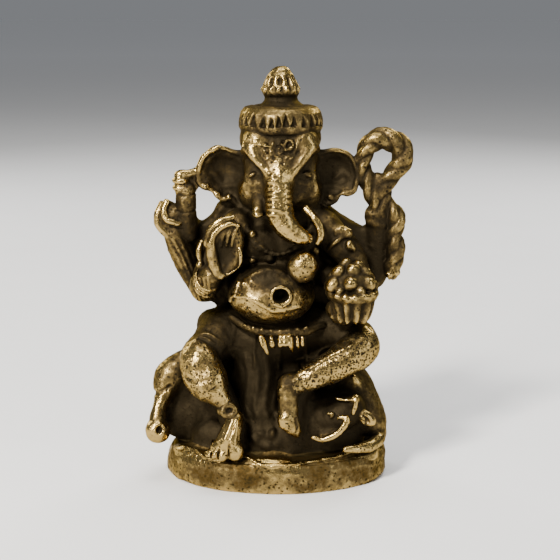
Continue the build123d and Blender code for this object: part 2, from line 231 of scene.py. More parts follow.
def rope(points, turns, strands=3, depth=0.5, blend=0.2, bend=0.1):
    """A twisted rope along a smooth curve of (x, y, z, radius) points.  depth is how deep its grooves are."""
    path = smooth_path(points, 6)
    region = region_of(*box_of(path[:, :3], path[:, 3]))
    distance = np.full([s.stop - s.start for s in region], FAR, np.float32)
    lengths = np.linalg.norm(np.diff(path[:, :3], axis=0), axis=1)
    along = np.concatenate([[0], np.cumsum(lengths)]) / lengths.sum()
    for a, b, u, v in zip(path[:-1], path[1:], along[:-1], along[1:]):
        part = region_of(*box_of([a[:3], b[:3]], [a[3], b[3]]))
        x, y, z = places(part, bend)
        d, t = to_segment(x, y, z, a[:3], b[:3])
        run = (b[:3] - a[:3]) / np.linalg.norm(b[:3] - a[:3])
        side = np.cross(run, (0, 1, 0))
        side /= np.linalg.norm(side)
        across = (x - a[0]) * side[0] + (y - a[1]) * side[1] + (z - a[2]) * side[2]
        angle = np.arctan2(y - a[1] - t * (b[1] - a[1]), across)
        lay = np.abs(np.cos((angle * strands + 2 * np.pi * turns * (u + (v - u) * t)) / 2))
        inner = tuple(slice(s.start - r.start, s.stop - r.start) for s, r in zip(part, region))
        distance[inner] = np.minimum(distance[inner], d - (a[3] + (b[3] - a[3]) * t) + depth * (1 - lay))
    join(region, distance, blend)


def ring(centre, axis, major, minor, blend=0.2, bend=0.1):
    """A round ring."""
    n = np.array(axis, float) / np.linalg.norm(axis)
    region = region_of(*box_of([centre], major + minor))
    x, y, z = places(region, bend)
    x, y, z = x - centre[0], y - centre[1], z - centre[2]
    up = x * n[0] + y * n[1] + z * n[2]
    out = np.sqrt(np.maximum(x * x + y * y + z * z - up * up, 0))
    join(region, np.sqrt((out - major) ** 2 + up * up) - minor, blend)


def to_outline(u, v, outline):
    """Signed distance in a plane to a closed outline, negative inside."""
    p = np.array(outline, float)
    q = np.roll(p, -1, axis=0)
    nearest_edge = np.full(np.broadcast(u, v).shape, 1e6, np.float32)
    inside = np.zeros(nearest_edge.shape, bool)
    for a, b in zip(p, q):
        d = b - a
        t = np.clip(((u - a[0]) * d[0] + (v - a[1]) * d[1]) / max(float(d @ d), TINY), 0, 1)
        nearest_edge = np.minimum(nearest_edge, (u - a[0] - t * d[0]) ** 2 + (v - a[1] - t * d[1]) ** 2)
        crossing = (a[1] > v) != (b[1] > v)
        if a[1] != b[1]:
            inside ^= crossing & (u < (b[0] - a[0]) * (v - a[1]) / (b[1] - a[1]) + a[0])
    return np.sqrt(nearest_edge) * np.where(inside, -1, 1)


def plate(outline, y_front, y_back, rounding=0.25, blend=0.3, bend=0.15, cut=False):
    """A flat plate facing the front, cut to a smooth outline of (x, z) points."""
    path = smooth_path(list(outline) + [outline[0]], 3)[:-1]
    lo = (path[:, 0].min(), y_front, path[:, 1].min()) + shift
    hi = (path[:, 0].max(), y_back, path[:, 1].max()) + shift
    region = region_of(lo, hi)
    x, y, z = places(region, bend)
    shape = to_outline(x, z, path)
    depth = np.abs(y - (y_front + y_back) / 2) - (y_back - y_front) / 2
    a, b = shape + rounding, depth + rounding
    outside = np.sqrt(np.maximum(a, 0) ** 2 + np.maximum(b, 0) ** 2)
    join(region, np.minimum(np.maximum(a, b), 0) + outside - rounding, blend, cut)


def lathe(axis, profile, blend=0.3, ripple=None, bend=0.06, squash=1.0, cut=False):
    """A turned shape about an upright axis.  The profile is a closed outline of (radius, z) points.

    ripple takes the angle about the axis, the radius and the height, and gives how far the surface stands in.
    """
    path = np.array(profile, float)
    reach = path[:, 0].max()
    lo = np.array((axis[0] - reach, axis[1] - reach, path[:, 1].min())) + shift
    hi = np.array((axis[0] + reach, axis[1] + reach, path[:, 1].max())) + shift
    region = region_of(lo, hi)
    x, y, z = places(region, bend)
    u, v = x - axis[0], (y - axis[1]) / squash
    out = np.sqrt(u * u + v * v) + 0 * z
    distance = to_outline(out, z + 0 * out, path)
    if ripple:
        distance = distance + ripple(np.arctan2(v, u) + 0 * z, out, z + 0 * out)
    join(region, distance, blend, cut)


def emboss(points, height, width, y_front=-11.0, y_back=0.0, bend=0.1):
    """Raises a soft ridge on the surfaces between y_front and y_back, or a groove where height is negative.

    The points are (x, z), or (x, z, width factor).
    """
    points = [tuple(p) + (1.0,) * (3 - len(p)) for p in points]
    path = smooth_path(points, 4)
    wide = width * path[:, 2].max()
    lo = np.array((path[:, 0].min() - wide, y_front, path[:, 1].min() - wide)) + shift
    hi = np.array((path[:, 0].max() + wide, y_back, path[:, 1].max() + wide)) + shift
    region = region_of(lo, hi, 0)
    x, y, z = places(region, bend)
    closest = np.full(np.broadcast(x, y, z).shape, FAR, np.float32)
    for a, b in zip(path[:-1], path[1:]):
        d = b[:2] - a[:2]
        t = np.clip(((x - a[0]) * d[0] + (z - a[1]) * d[1]) / max(float(d @ d), TINY), 0, 1)
        away = np.sqrt((x - a[0] - t * d[0]) ** 2 + (z - a[1] - t * d[1]) ** 2)
        closest = np.minimum(closest, away / (width * (a[2] + (b[2] - a[2]) * t)))
    fall = np.clip(1 - closest**2, 0, 1) ** 2
    metal[region] -= height * fall


def build_base():
    begin("plinth", (0.0, 0.0, 1.7))

    def waves(a, r, z):
        return 0.07 * np.cos(3 * a + 1) + 0.06 * np.cos(7 * a) * np.sin(z * 1.4)

    side = [(0, 0), (13.3, 0), (13.6, 0.5), (13.55, 2.6), (13.2, 3.4), (0, 3.4)]
    lathe((0, 0), side, blend=0.2, ripple=waves, bend=0.12, squash=0.69)
    begin("ground", (0.0, 0.0, 3.7))
    lathe((0, 0), [(0, 3.0), (13.1, 3.0), (13.0, 3.6), (12.3, 4.0), (0, 4.1)], blend=0.25, squash=0.69,
          ripple=lambda a, r, z: 0.16 * np.cos(6 * a + 0.4) + 0.12 * np.cos(11 * a + 2), bend=0.15)
    emboss([(-11.6, 4.8), (-9.9, 4.2), (-8.6, 3.75), (-7.2, 3.9)], 0.36, 0.26, y_front=-9.6, y_back=-5)
    emboss([(-5.0, 3.9), (-3.8, 4.2), (-1.8, 3.7), (0.3, 3.6), (2.7, 3.8), (6.3, 4.0), (9.0, 4.2),
            (11.4, 4.3), (12.6, 4.3)], 0.36, 0.2, y_front=-9.8, y_back=-3)


def build_seat():
    begin("seat", (0.0, 1.0, 9.0))
    lathe((0, 2.4), [(0, 3.4), (11.6, 3.4), (12.4, 5.5), (12.4, 8.0), (11.2, 11.2), (9.4, 14.0),
                     (7.6, 16.2), (0, 16.4)], blend=0.9, squash=0.50, bend=0.35)
    sides = [(-8.0, 17.2), (-10.6, 15.4), (-13.0, 13.2), (-14.4, 11.4), (-14.0, 9.0), (-14.8, 7.0),
             (-14.6, 5.2), (-12.4, 4.2), (-6.0, 3.6), (6.0, 3.6), (12.3, 4.4), (13.0, 6.2), (12.6, 8.4),
             (11.5, 10.8), (10.2, 13.2), (8.4, 15.2)]
    plate(sides, -0.6, 2.6, rounding=0.9, blend=0.9, bend=0.3)
    limb([(-3.0, -1.6, 16.5, 2.6), (-2.4, -2.2, 12.0, 2.6), (-1.8, -3.0, 8.0, 2.8), (-1.6, -3.4, 5.0, 3.0)],
         blend=1.2)
    limb([(-8.0, -2.0, 5.0, 2.4), (0.0, -4.0, 5.4, 2.6), (8.0, -2.6, 5.2, 2.4)], blend=1.2)
    limb([(3.0, -3.0, 8.6, 2.6), (8.6, -2.0, 8.4, 2.6)], blend=1.2)
    limb([(-8.8, -2.8, 14.0, 1.8), (-6.6, -4.2, 10.8, 1.5), (-5.6, -5.2, 7.6, 1.3), (-5.6, -5.2, 5.0, 1.4)],
         blend=0.9)
    limb([(5.2, -3.2, 14.0, 1.6), (2.6, -4.6, 11.5, 1.4), (1.8, -5.2, 8.5, 1.4), (1.6, -5.2, 5.0, 1.5)],
         blend=0.9)
    for k, (x, z) in enumerate([(-1.9, 6.6), (-2.6, 5.9), (0.1, 5.6), (-0.6, 6.6), (-1.2, 5.2)]):
        blob((x, -6.1 - 0.1 * k, z), (0.65, 0.5, 0.4), (0, 40 * k, 0), blend=0.5)
    for x in (-3.9, -2.7, -1.4, -0.2):
        emboss([(x, 15.8), (x + 0.4, 13.0), (x - 0.1, 10.0), (x + 0.3, 8.6)], 0.12, 0.5, y_front=-8, y_back=0)
    for x, z, lean in ((-9.5, 8.5, -0.4), (-6.0, 8.2, -0.3), (-2.4, 8.2, -0.1), (1.4, 8.4, 0.1),
                       (5.0, 8.2, 0.3), (8.6, 8.6, 0.5)):
        # folds behind
        emboss([(x + lean * 2, z - 4), (x, z), (x - lean * 3, z + 5.6)], 0.5, 0.8, y_front=1, y_back=11)
        emboss([(x + 1.7 + lean * 2, z - 3), (x + 1.7, z), (x + 1.3 - lean * 3, z + 4)], -0.35, 0.6,
               y_front=1, y_back=11)
    for z in (5.0, 6.1):  # the robe's hem behind
        emboss([(-12, z + 1.2), (-6, z + 0.3), (0, z), (6, z + 0.3), (12, z + 1.2)], 0.28, 0.35, y_front=1,
               y_back=11)
    begin("seat_left_rim", (12.0, -0.9, 9.3))
    limb([(8.9, 0.4, 13.6, 0.6), (10.1, 0.0, 12.1, 0.7), (11.4, -0.5, 9.8, 0.8), (12.3, -1.0, 7.7, 0.9),
          (12.5, -1.7, 6.3, 0.9)], blend=1.3)
    limb([(8.4, -1.2, 12.6, 1.2), (10.4, -1.6, 9.6, 1.5), (11.4, -2.4, 6.8, 1.5)], blend=1.2)
    limb([(9.3, -2.5, 12.6, 0.22), (9.7, -2.5, 12.0, 0.34), (9.9, -2.6, 11.5, 0.2)], blend=0.3)
    begin("seat_front_rim", (10.5, -5.3, 4.7))
    limb([(12.5, -1.8, 5.3, 0.8), (12.1, -3.6, 5.0, 0.76), (10.9, -5.4, 4.85, 0.72), (9.4, -6.6, 4.8, 0.58),
          (8.0, -7.2, 4.9, 0.42)], blend=0.45)
    begin("seat_right_roll", (-12.7, -0.9, 10.4))
    limb([(-10.4, 0.6, 14.4, 1.4), (-12.1, 0.2, 13.3, 1.65), (-13.4, 0.0, 11.9, 1.8),
          (-13.9, -0.6, 10.5, 1.4), (-14.2, -1.3, 9.4, 1.05), (-14.5, -1.9, 8.3, 0.98),
          (-14.6, -2.4, 7.4, 1.1)], blend=0.7)
    limb([(-12.4, -1.1, 12.6, 0.3), (-13.1, -1.2, 11.2, 0.3), (-13.5, -1.5, 10.2, 0.3)], blend=0.3)
    emboss([(-15.3, 10.1), (-14.3, 10.6), (-13.2, 11.3)], -0.25, 0.45, y_front=-5, y_back=2)
    begin("roll_end", (-14.4, -2.9, 6.1))
    blob((-14.6, -3.0, 6.1), (1.6, 1.55, 1.6), blend=0.18)
    blob((-14.4, -4.5, 6.5), (0.4, 0.8, 0.55), (0, 20, 0), blend=0.12, cut=True)


def build_legs():
    begin("hips", (-0.2, 0.4, 17.8))
    blob((-0.2, 0.9, 17.6), (8.6, 4.9, 4.4), blend=1.2)
    blob((-7.4, 0.6, 18.0), (2.5, 2.8, 2.5), blend=0.9)
    for x, z, lean in ((-5.0, 19.6, -0.5), (-2.6, 18.8, -0.2), (0.3, 18.4, 0.0), (3.2, 18.8, 0.3)):
        emboss([(x, z), (x + lean, z - 2.6), (x + lean, z - 4.5)], 0.14, 0.35)
    for z in (16.3, 17.9, 19.4):
        emboss([(-6.5, z + 0.6), (0, z), (6.5, z + 0.6)], 0.25, 0.6, y_front=1, y_back=8)
    begin("right_thigh", (-7.2, -2.3, 17.8))
    limb([(-5.0, -0.2, 18.2, 2.8), (-7.2, -2.0, 17.4, 2.6), (-9.0, -3.5, 16.2, 2.2)], blend=0.9)
    for k in range(4):
        x, z = -10.9 + 0.5 * k, 17.0 + 0.42 * k
        emboss([(x - 0.6, z - 0.5), (x + 0.3, z + 0.2), (x + 1.4, z + 0.2), (x + 2.4, z - 0.5)], 0.17, 0.2,
               y_front=-8)
    begin("right_shin", (-8.6, -5.5, 13.8))
    limb([(-9.6, -4.6, 15.6, 2.1), (-9.2, -5.3, 14.4, 2.35), (-8.3, -6.0, 12.9, 2.3),
          (-7.3, -6.7, 11.8, 1.55), (-6.5, -7.1, 11.0, 1.05)], blend=0.35, bend=0.2)
    blob((-9.3, -5.5, 15.5), (2.0, 1.7, 1.7), blend=0.8)
    blob((-7.7, -5.6, 13.3), (1.5, 2.0, 2.0), blend=0.9)
    emboss([(-11.4, 14.2), (-10.3, 13.6), (-9.0, 13.6), (-7.8, 13.8)], -0.07, 0.22)
    emboss([(-11.0, 13.4), (-10.0, 12.9), (-8.9, 13.0)], 0.05, 0.35)
    begin("right_anklet", (-6.0, -7.4, 10.1))
    ring((-5.75, -7.9, 10.0), (0.15, -1, 0.3), 0.62, 0.46, blend=0.12)
    blob((-6.5, -7.7, 9.9), (0.6, 0.5, 0.62), blend=0.15)
    blob((-5.9, -7.2, 10.1), (1.0, 0.8, 0.95), blend=0.2)
    blob((-5.6, -8.6, 10.15), (0.26, 0.8, 0.28), blend=0.1, cut=True)
    begin("right_foot", (-6.2, -7.7, 7.0))
    limb([(-5.2, -7.4, 9.1, 0.8), (-5.4, -7.8, 8.0, 1.0), (-5.9, -8.1, 6.7, 1.3), (-6.0, -8.1, 5.6, 1.5)],
         blend=0.2)
    limb([(-5.8, -7.8, 8.2, 0.5), (-6.6, -8.2, 6.8, 0.75), (-7.3, -8.2, 5.6, 0.9)], blend=0.5)
    for x, foot, rise in ((-5.5, -7.0, 0.12), (-5.0, -5.3, 0.16)):
        emboss([(x, 9.0), ((x + foot) / 2, 7.3), (foot, 5.7)], rise, 0.35)
    emboss([(-5.4, 8.3), (-5.85, 7.1), (-6.0, 6.0)], -0.2, 0.14)
    begin("right_toes", (-6.6, -8.1, 5.0))
    for x, y, z, wide, tall in ((-5.3, -8.7, 5.15, 1.0, 1.2), (-6.75, -8.8, 4.9, 0.78, 1.0),
                                (-7.8, -8.5, 4.85, 0.52, 0.8), (-8.5, -8.0, 4.7, 0.42, 0.6)):
        blob((x, y, z), (wide, 0.95, tall), (0, -12 * (x + 4.6), 0), blend=0.18)
    for x, top, low in ((-6.12, 6.3, 4.8), (-7.35, 5.7, 4.4), (-8.15, 5.0, 4.3)):
        emboss([(x + 0.15, top), (x, 5.0), (x, low)], -0.32, 0.11)
    begin("left_thigh", (7.5, -1.8, 18.3))
    limb([(5.0, -0.2, 18.2, 2.8), (7.6, -1.8, 18.2, 2.6), (9.6, -3.2, 17.6, 2.4)], blend=0.9)
    begin("left_shin", (7.3, -5.6, 15.9))
    limb([(10.0, -4.4, 17.2, 2.35), (9.2, -5.0, 16.4, 2.35), (7.2, -6.0, 15.3, 2.05), (5.0, -6.8, 14.3, 1.7),
          (3.4, -7.3, 13.6, 1.4), (2.2, -7.6, 13.2, 1.2)], blend=0.3, bend=0.2)
    emboss([(2.4, 14.7), (3.8, 15.3), (5.4, 16.2), (7.2, 17.1), (8.6, 17.8)], 0.14, 0.35)
    emboss([(2.7, 14.2), (3.0, 13.2), (3.5, 12.4)], -0.14, 0.2)
    begin("left_anklet", (1.2, -7.8, 11.9))
    limb([(1.35, -7.5, 13.2, 1.25), (1.3, -7.7, 12.0, 1.28), (1.3, -7.85, 10.8, 1.12)], blend=0.45)
    emboss([(0.2, 12.7), (1.0, 13.2), (2.2, 13.3)], 0.12, 0.25)
    emboss([(0.2, 12.0), (1.3, 12.3), (2.3, 12.1)], -0.07, 0.2)
    begin("left_foot", (1.4, -8.0, 8.6))
    limb([(1.35, -7.9, 10.2, 1.1), (1.2, -8.2, 9.2, 1.22), (1.55, -8.3, 8.4, 1.05), (2.0, -8.1, 7.7, 0.75),
          (2.35, -8.0, 7.15, 0.42)], blend=0.35)
    blob((0.95, -8.8, 8.95), (0.95, 0.8, 1.0), blend=0.35)
    emboss([(2.1, 9.4), (2.2, 8.4), (2.3, 7.6)], -0.12, 0.15)


def build_mouse():
    begin("mouse_body", (7.6, -6.0, 8.3))
    limb([(9.2, -4.6, 9.2, 1.5), (7.6, -5.0, 8.6, 1.9), (5.6, -5.0, 7.6, 1.4), (4.4, -5.2, 6.6, 0.9)],
         blend=0.9)
    limb([(5.95, -6.7, 9.2, 0.16), (6.6, -6.85, 9.15, 0.26), (6.35, -6.95, 8.75, 0.14)], blend=0.2)
    blob((7.7, -6.4, 8.2), (0.9, 0.6, 0.7), blend=0.3)
    begin("mouse_ears", (10.1, -6.6, 9.3))
    blob((10.75, -5.4, 8.35), (1.35, 0.85, 0.9), (0, 35, 0), blend=0.2)
    blob((10.55, -6.3, 8.35), (0.85, 0.5, 0.45), (0, 35, 0), blend=0.15, cut=True)
    blob((10.3, -5.95, 8.5), (0.4, 0.35, 0.25), (0, 35, 0), blend=0.12)
    limb([(9.35, -6.5, 11.1, 0.2), (9.25, -6.7, 10.2, 0.3), (9.0, -6.7, 9.3, 0.26)], blend=0.15)
    limb([(9.2, -5.4, 10.6, 0.6), (8.9, -5.4, 9.6, 0.6)], blend=0.4)
    limb([(7.0, -6.0, 11.0, 0.12), (8.0, -6.2, 10.8, 0.17), (9.1, -6.5, 10.9, 0.2)], blend=0.15)
    begin("mouse_tail", (6.1, -8.1, 7.0))
    limb([(7.3, -7.0, 8.85, 0.2), (8.25, -7.2, 8.9, 0.34), (8.05, -7.3, 8.1, 0.46), (7.4, -7.4, 7.2, 0.42),
          (6.5, -7.4, 6.5, 0.36), (5.4, -7.5, 6.25, 0.32), (4.4, -7.5, 6.65, 0.24)], blend=0.15)
    limb([(7.6, -6.1, 7.3, 0.6), (5.4, -6.3, 6.4, 0.5)], blend=0.6)


def build_torso():
    begin("belly", (-0.7, -3.0, 23.3))
    blob((-0.7, -2.9, 23.1), (5.2, 4.7, 3.6), (0, 3, 0), blend=0.5)
    blob((-0.9, -5.3, 25.2), (3.4, 1.6, 1.3), (0, -4, 0), blend=0.4)
    limb([(-4.3, -4.9, 24.9, 0.3), (-2.9, -5.9, 26.0, 0.36), (-1.4, -6.2, 26.5, 0.36),
          (0.2, -6.0, 26.5, 0.32), (0.9, -5.9, 26.0, 0.28)], blend=0.25)
    for k in range(6):
        blob((-3.9 + 0.75 * k, -6.0 - 0.12 * min(k, 3), 25.0 + 0.28 * min(k, 4)), (0.36, 0.3, 0.28),
             (0, 35 * k, 0), blend=0.2)
    emboss([(-5.4, 23.4), (-3.6, 23.6), (-2.0, 22.8), (-0.6, 22.0), (0.8, 21.9), (2.6, 22.2)], 0.16, 0.5)
    ring((0.45, -7.3, 23.7), (0.15, -1, 0.12), 1.15, 0.22, blend=0.3)
    blob((0.42, -8.0, 23.75), (0.98, 2.3, 0.98), blend=0.12, cut=True)
    begin("chest", (0.2, 0.3, 27.5))
    blob((0.2, 0.6, 27.6), (6.1, 3.7, 6.2), blend=0.9)
    web = [(-9.8, 31.9), (-9.2, 31.2), (-7.9, 32.0), (-7.2, 33.4), (-6.2, 34.3), (-4.6, 35.0), (-3.0, 35.6),
           (3.6, 35.0), (4.8, 34.2), (6.5, 33.0), (8.2, 31.5), (10.4, 30.6), (13.4, 31.2), (14.6, 29.0),
           (14.4, 26.5), (13.4, 24.4), (11.8, 22.8), (10.0, 20.6), (7.0, 18.4), (0, 17.5), (-6.4, 18.6),
           (-6.6, 20.6), (-8.6, 21.4), (-9.9, 22.6), (-11.0, 25.4), (-12.2, 29.4)]
    plate(web, 0.3, 2.4, rounding=0.8, blend=0.9, bend=0.25)
    blob((-2.2, -2.0, 29.0), (2.2, 1.5, 2.0), blend=0.6)
    blob((2.6, -2.0, 29.0), (2.2, 1.5, 2.0), blend=0.6)
    for x, z, r in ((-3.0, 30.4, 0.5), (-1.9, 28.8, 0.45), (-2.9, 27.2, 0.4), (4.6, 28.3, 0.5),
                    (-0.8, 27.4, 0.5)):
        blob((x, -3.2, z), (r, r, r), blend=0.3)
    # sash behind
    emboss([(-4.5, 30.5), (-1.5, 27.5), (2.5, 24.5), (5.0, 22.5)], 0.35, 0.5, y_front=1, y_back=9)
    emboss([(-5.6, 22.4), (-4.8, 25.0), (-4.4, 27.2)], 0.2, 0.4, y_front=-6, y_back=2)
    begin("belt", (0.0, -5.2, 19.5))
    limb([(-5.4, -3.5, 20.3, 0.45), (-3.4, -4.9, 19.4, 0.5), (-1.2, -5.6, 18.95, 0.5),
          (1.4, -5.7, 18.85, 0.5), (3.6, -4.9, 18.95, 0.45), (5.4, -3.6, 19.3, 0.4)], blend=0.4)
    for k in range(8):
        x = -3.9 + k * 1.05
        blob((x, -6.0 + 0.06 * (x + 0.2) ** 2, 19.2 + 0.03 * (x - 0.6) ** 2), (0.24, 0.24, 0.2), blend=0.2)
    begin("pleats", (0.0, -5.4, 17.8))
    for x, lean, foot, thick in ((-1.9, 0.8, 16.6, 0.36), (-0.75, 0.35, 17.4, 0.24), (0.35, 0.0, 17.4, 0.3),
                                 (0.9, 0.1, 17.8, 0.3), (1.45, 0.2, 16.9, 0.34), (2.25, 0.15, 17.2, 0.18),
                                 (2.9, 0.1, 17.6, 0.18)):
        limb([(x, -6.3, 18.6, thick * 1.15), (x + lean * 0.35, -6.5, 17.8, thick * 1.15),
              (x + lean, -6.3, foot, thick * 0.6)], blend=0.1)
    blob((0.9, -6.3, 18.5), (0.85, 0.45, 0.28), blend=0.1)
    begin("necklace", (0.1, -3.3, 29.6))
    string = smooth_path([(-3.9, -2.6, 31.3), (-2.6, -3.3, 29.2), (0.1, -3.55, 28.0), (2.8, -3.3, 29.2),
                          (4.2, -2.6, 31.3)], 4)
    for x, y, z in string:
        blob((x, y, z), (0.33, 0.24, 0.33), blend=0.35)
    begin("modak", (3.0, -5.2, 27.0))
    blob((3.05, -5.9, 26.95), (1.74, 1.55, 1.7), blend=0.2, bend=0.3)
    limb([(3.1, -4.9, 26.9, 1.2), (2.8, -2.6, 27.0, 1.3)], blend=0.3)
    for k in range(6):
        emboss([(2.6 + 0.32 * k, 28.6 - 0.1 * k), (2.8 + 0.3 * k, 27.8 - 0.1 * k)], 0.13, 0.13,
               y_front=-8.5, y_back=-5)


def build_head():
    begin("head", (0.4, 0.2, 37.8))
    blob((0.4, 0.4, 38.0), (4.7, 4.1, 5.4), blend=0.5)
    limb([(-2.0, 0.3, 41.6, 2.45), (2.8, 0.3, 41.6, 2.45)], blend=0.5)
    blob((0.4, -0.8, 38.4), (4.1, 3.5, 3.6), blend=0.8)
    blob((-2.5, -1.0, 36.2), (2.2, 2.3, 3.2), blend=1.4)
    blob((3.3, -1.0, 36.2), (2.2, 2.3, 3.2), blend=1.4)
    blob((0.3, -2.1, 36.0), (3.2, 2.2, 3.0), blend=1.4)
    limb([(-2.6, 0.3, 34.5, 1.8), (-2.8, 0.3, 32.2, 1.8)], blend=0.8)
    limb([(3.4, 0.3, 34.5, 1.8), (3.8, 0.3, 32.2, 1.8)], blend=0.8)
    limb([(-2.0, -2.3, 41.7, 1.5), (2.8, -2.3, 41.7, 1.5)], blend=0.6)
    for x in (-2.4, 0.4, 3.2):
        limb([(x, -2.2, 41.2, 1.7), (0.3 + 0.45 * x, -2.7, 39.8, 1.6), (0.3 + 0.1 * x, -3.2, 38.2, 1.35)],
             blend=0.8)
    for x, turn in ((-2.9, -20), (3.5, 20)):
        blob((x, -4.4, 38.3), (1.1, 0.8, 0.45), (0, turn, 0), blend=0.5, cut=True)  # eye socket
        blob((x, -3.65, 37.55), (0.5, 0.35, 0.24), (0, turn, 0), blend=0.2)
        emboss([(x - 0.8, 37.6), (x, 37.9), (x + 0.7, 37.6)], 0.08, 0.18)
        emboss([(x - 0.8, 37.2), (x, 36.95), (x + 0.7, 37.2)], -0.1, 0.16)
        emboss([(x - 0.9, 36.6), (x, 36.35), (x + 0.8, 36.6)], 0.08, 0.2)
    begin("brow_ridges", (0.4, -3.7, 39.3))
    limb([(-4.0, -2.6, 40.0, 0.4), (-3.5, -3.2, 40.35, 0.62), (-2.8, -3.75, 39.8, 0.66),
          (-2.0, -4.2, 38.8, 0.5), (-1.3, -4.6, 37.9, 0.35)], blend=0.7)
    limb([(4.7, -2.5, 40.3, 0.4), (4.2, -3.1, 40.6, 0.6), (3.4, -3.75, 40.0, 0.66), (2.6, -4.2, 38.9, 0.5),
          (1.9, -4.6, 37.9, 0.32)], blend=0.7)
    begin("forehead_jewel", (1.3, -3.7, 41.1))
    limb([(1.0, -4.25, 40.8, 0.13), (0.85, -4.3, 41.2, 0.2), (1.2, -4.15, 41.65, 0.17),
          (1.7, -4.15, 41.55, 0.2), (1.85, -4.3, 41.1, 0.15), (1.5, -4.4, 40.75, 0.19),
          (1.05, -4.4, 40.7, 0.14)], blend=0.25)
    for k in range(6):
        blob((-3.5 + 0.42 * k, -3.35 - 0.16 * k, 41.5 - 0.09 * k), (0.3, 0.34, 0.26), blend=0.18)
    for points in ([(0.05, 40.3), (0.4, 41.3)], [(0.45, 41.3), (0.95, 40.5)],
                   [(-0.5, 41.4), (-0.9, 40.5), (-0.8, 40.0)], [(2.4, 41.6), (2.2, 40.8)],
                   [(0.0, 39.6), (0.2, 39.0)], [(0.9, 39.7), (0.8, 39.0)], [(-1.6, 40.6), (-1.2, 39.8)]):
        emboss(points, 0.2, 0.2)
    for k in range(22):  # small crumpled marks between the brows
        x = 0.4 + (0.35 + 0.085 * k) * math.sin(2.4 * k)
        z = 39.9 + (0.3 + 0.045 * k) * math.cos(2.4 * k) + 0.02 * k
        emboss([(x - 0.15, z - 0.1), (x + 0.17, z + 0.14 * math.cos(5 * k))], 0.22 * (-1) ** k, 0.15,
               y_front=-6, y_back=-2)
    begin("trunk", (1.1, -5.3, 34.5))
    limb([(0.4, -3.4, 38.8, 1.3), (0.25, -4.1, 37.2, 1.6), (0.1, -4.9, 35.2, 1.6), (0.25, -5.3, 33.7, 1.6),
          (0.8, -5.6, 32.2, 1.5), (1.8, -5.7, 31.1, 1.25), (2.8, -5.7, 30.5, 0.95),
          (3.35, -5.6, 30.3, 0.75)], blend=0.8)
    for k in range(8):
        z = 37.5 - 0.6 * k
        wide = 0.5 + 0.14 * math.sin(k * 2.2)
        y = -5.45 - 0.55 * (37.4 - z) + 0.055 * (37.4 - z) ** 2
        limb([(-1.0, y + 0.35, z, 0.26), (-0.5, y, z + 0.06, 0.34), (-0.5 + wide, y, z - 0.03, 0.27)],
             blend=0.1, bend=0.15)
        limb([(0.55, y, z - 0.25, 0.22), (0.9, y + 0.05, z - 0.22, 0.28), (1.25, y + 0.35, z - 0.25, 0.2)],
             blend=0.1, bend=0.15)
    emboss([(-0.9, 33.0), (-0.1, 31.8), (1.3, 30.6), (2.6, 29.9)], 0.12, 0.25)
    for k in range(5):
        emboss([(0.2 + 0.5 * k, 32.0 - 0.45 * k), (1.2 + 0.5 * k, 32.9 - 0.5 * k)], -0.06, 0.15)
    blob((3.95, -6.1, 30.2), (0.32, 0.5, 0.4), blend=0.1, cut=True)
    begin("left_tusk", (4.3, -4.5, 31.7))
    limb([(3.3, -3.9, 33.4, 0.5), (4.2, -4.5, 32.5, 0.48), (4.9, -4.8, 31.4, 0.52), (5.0, -4.9, 30.4, 0.5),
          (4.7, -5.0, 29.6, 0.4)], blend=0.15)
    emboss([(3.9, 33.2), (4.9, 32.3), (5.4, 31.0), (5.3, 29.9)], 0.12, 0.16)
    begin("right_tusk", (-1.7, -3.9, 33.3))
    limb([(-1.9, -2.4, 34.8, 0.85), (-2.1, -3.4, 33.7, 0.9), (-2.2, -4.2, 33.0, 0.8)], blend=0.6)
    limb([(-2.8, -4.6, 32.5, 0.18), (-2.25, -4.95, 32.5, 0.25), (-1.7, -4.9, 32.65, 0.18)], blend=0.15)


def build_crown():
    begin("crown_band", (0.3, 0.4, 43.7))

    def teeth(a, r, z):
        saw = np.abs((a * 29 / (2 * math.pi) + 0.2 * np.cos(5 * a)) % 1 - 0.5) * 2
        tall = 0.95 - 0.14 * np.cos(7 * a + 1)
        up = np.clip((tall - (z - 43.1) / 1.6 - saw) * 2.5, 0, 1) * np.clip((z - 43.05) * 5, 0, 1)
        lip = 0.06 * np.cos(a * 17) * np.exp(-(((z - 42.8) / 0.3) ** 2))
        return (0.42 * up + lip) * np.clip((r - 3.4) * 3, 0, 1) * np.clip((44.9 - z) * 4, 0, 1)

    lathe((0.35, 0.4), [(0, 41.4), (4.2, 41.4), (4.3, 42.1), (4.75, 42.3), (5.0, 42.7), (5.1, 43.2),
                        (5.05, 43.8), (4.8, 44.6), (4.3, 45.1), (3.5, 45.35), (0, 45.5)], blend=0.15,
          ripple=teeth, bend=0.12)
    begin("crown_finial", (0.4, 0.4, 47.7))

    def petals(a, r, z):
        slit = np.clip(1.3 - 4.0 * np.abs((a * 11 / (2 * math.pi) + 0.3 + 0.1 * np.cos(3 * a)) % 1 - 0.5),
                       0, 1)
        bead = 0.16 * np.cos(a * 13) * np.exp(-(((z - 47.3) / 0.35) ** 2))
        return 0.42 * slit * np.clip((z - 47.55) * 2.5, 0, 1) * np.clip((49.0 - z) * 1.8, 0, 1) + bead

    lathe((0.45, 0.4), [(0, 45.0), (2.7, 45.0), (2.45, 45.5), (2.05, 45.9), (1.95, 46.3), (2.2, 46.8),
                        (2.28, 47.3), (2.1, 48.1), (1.65, 48.9), (1.1, 49.6), (0.5, 50.0), (0, 50.05)],
          blend=0.25, ripple=petals, bend=0.15)


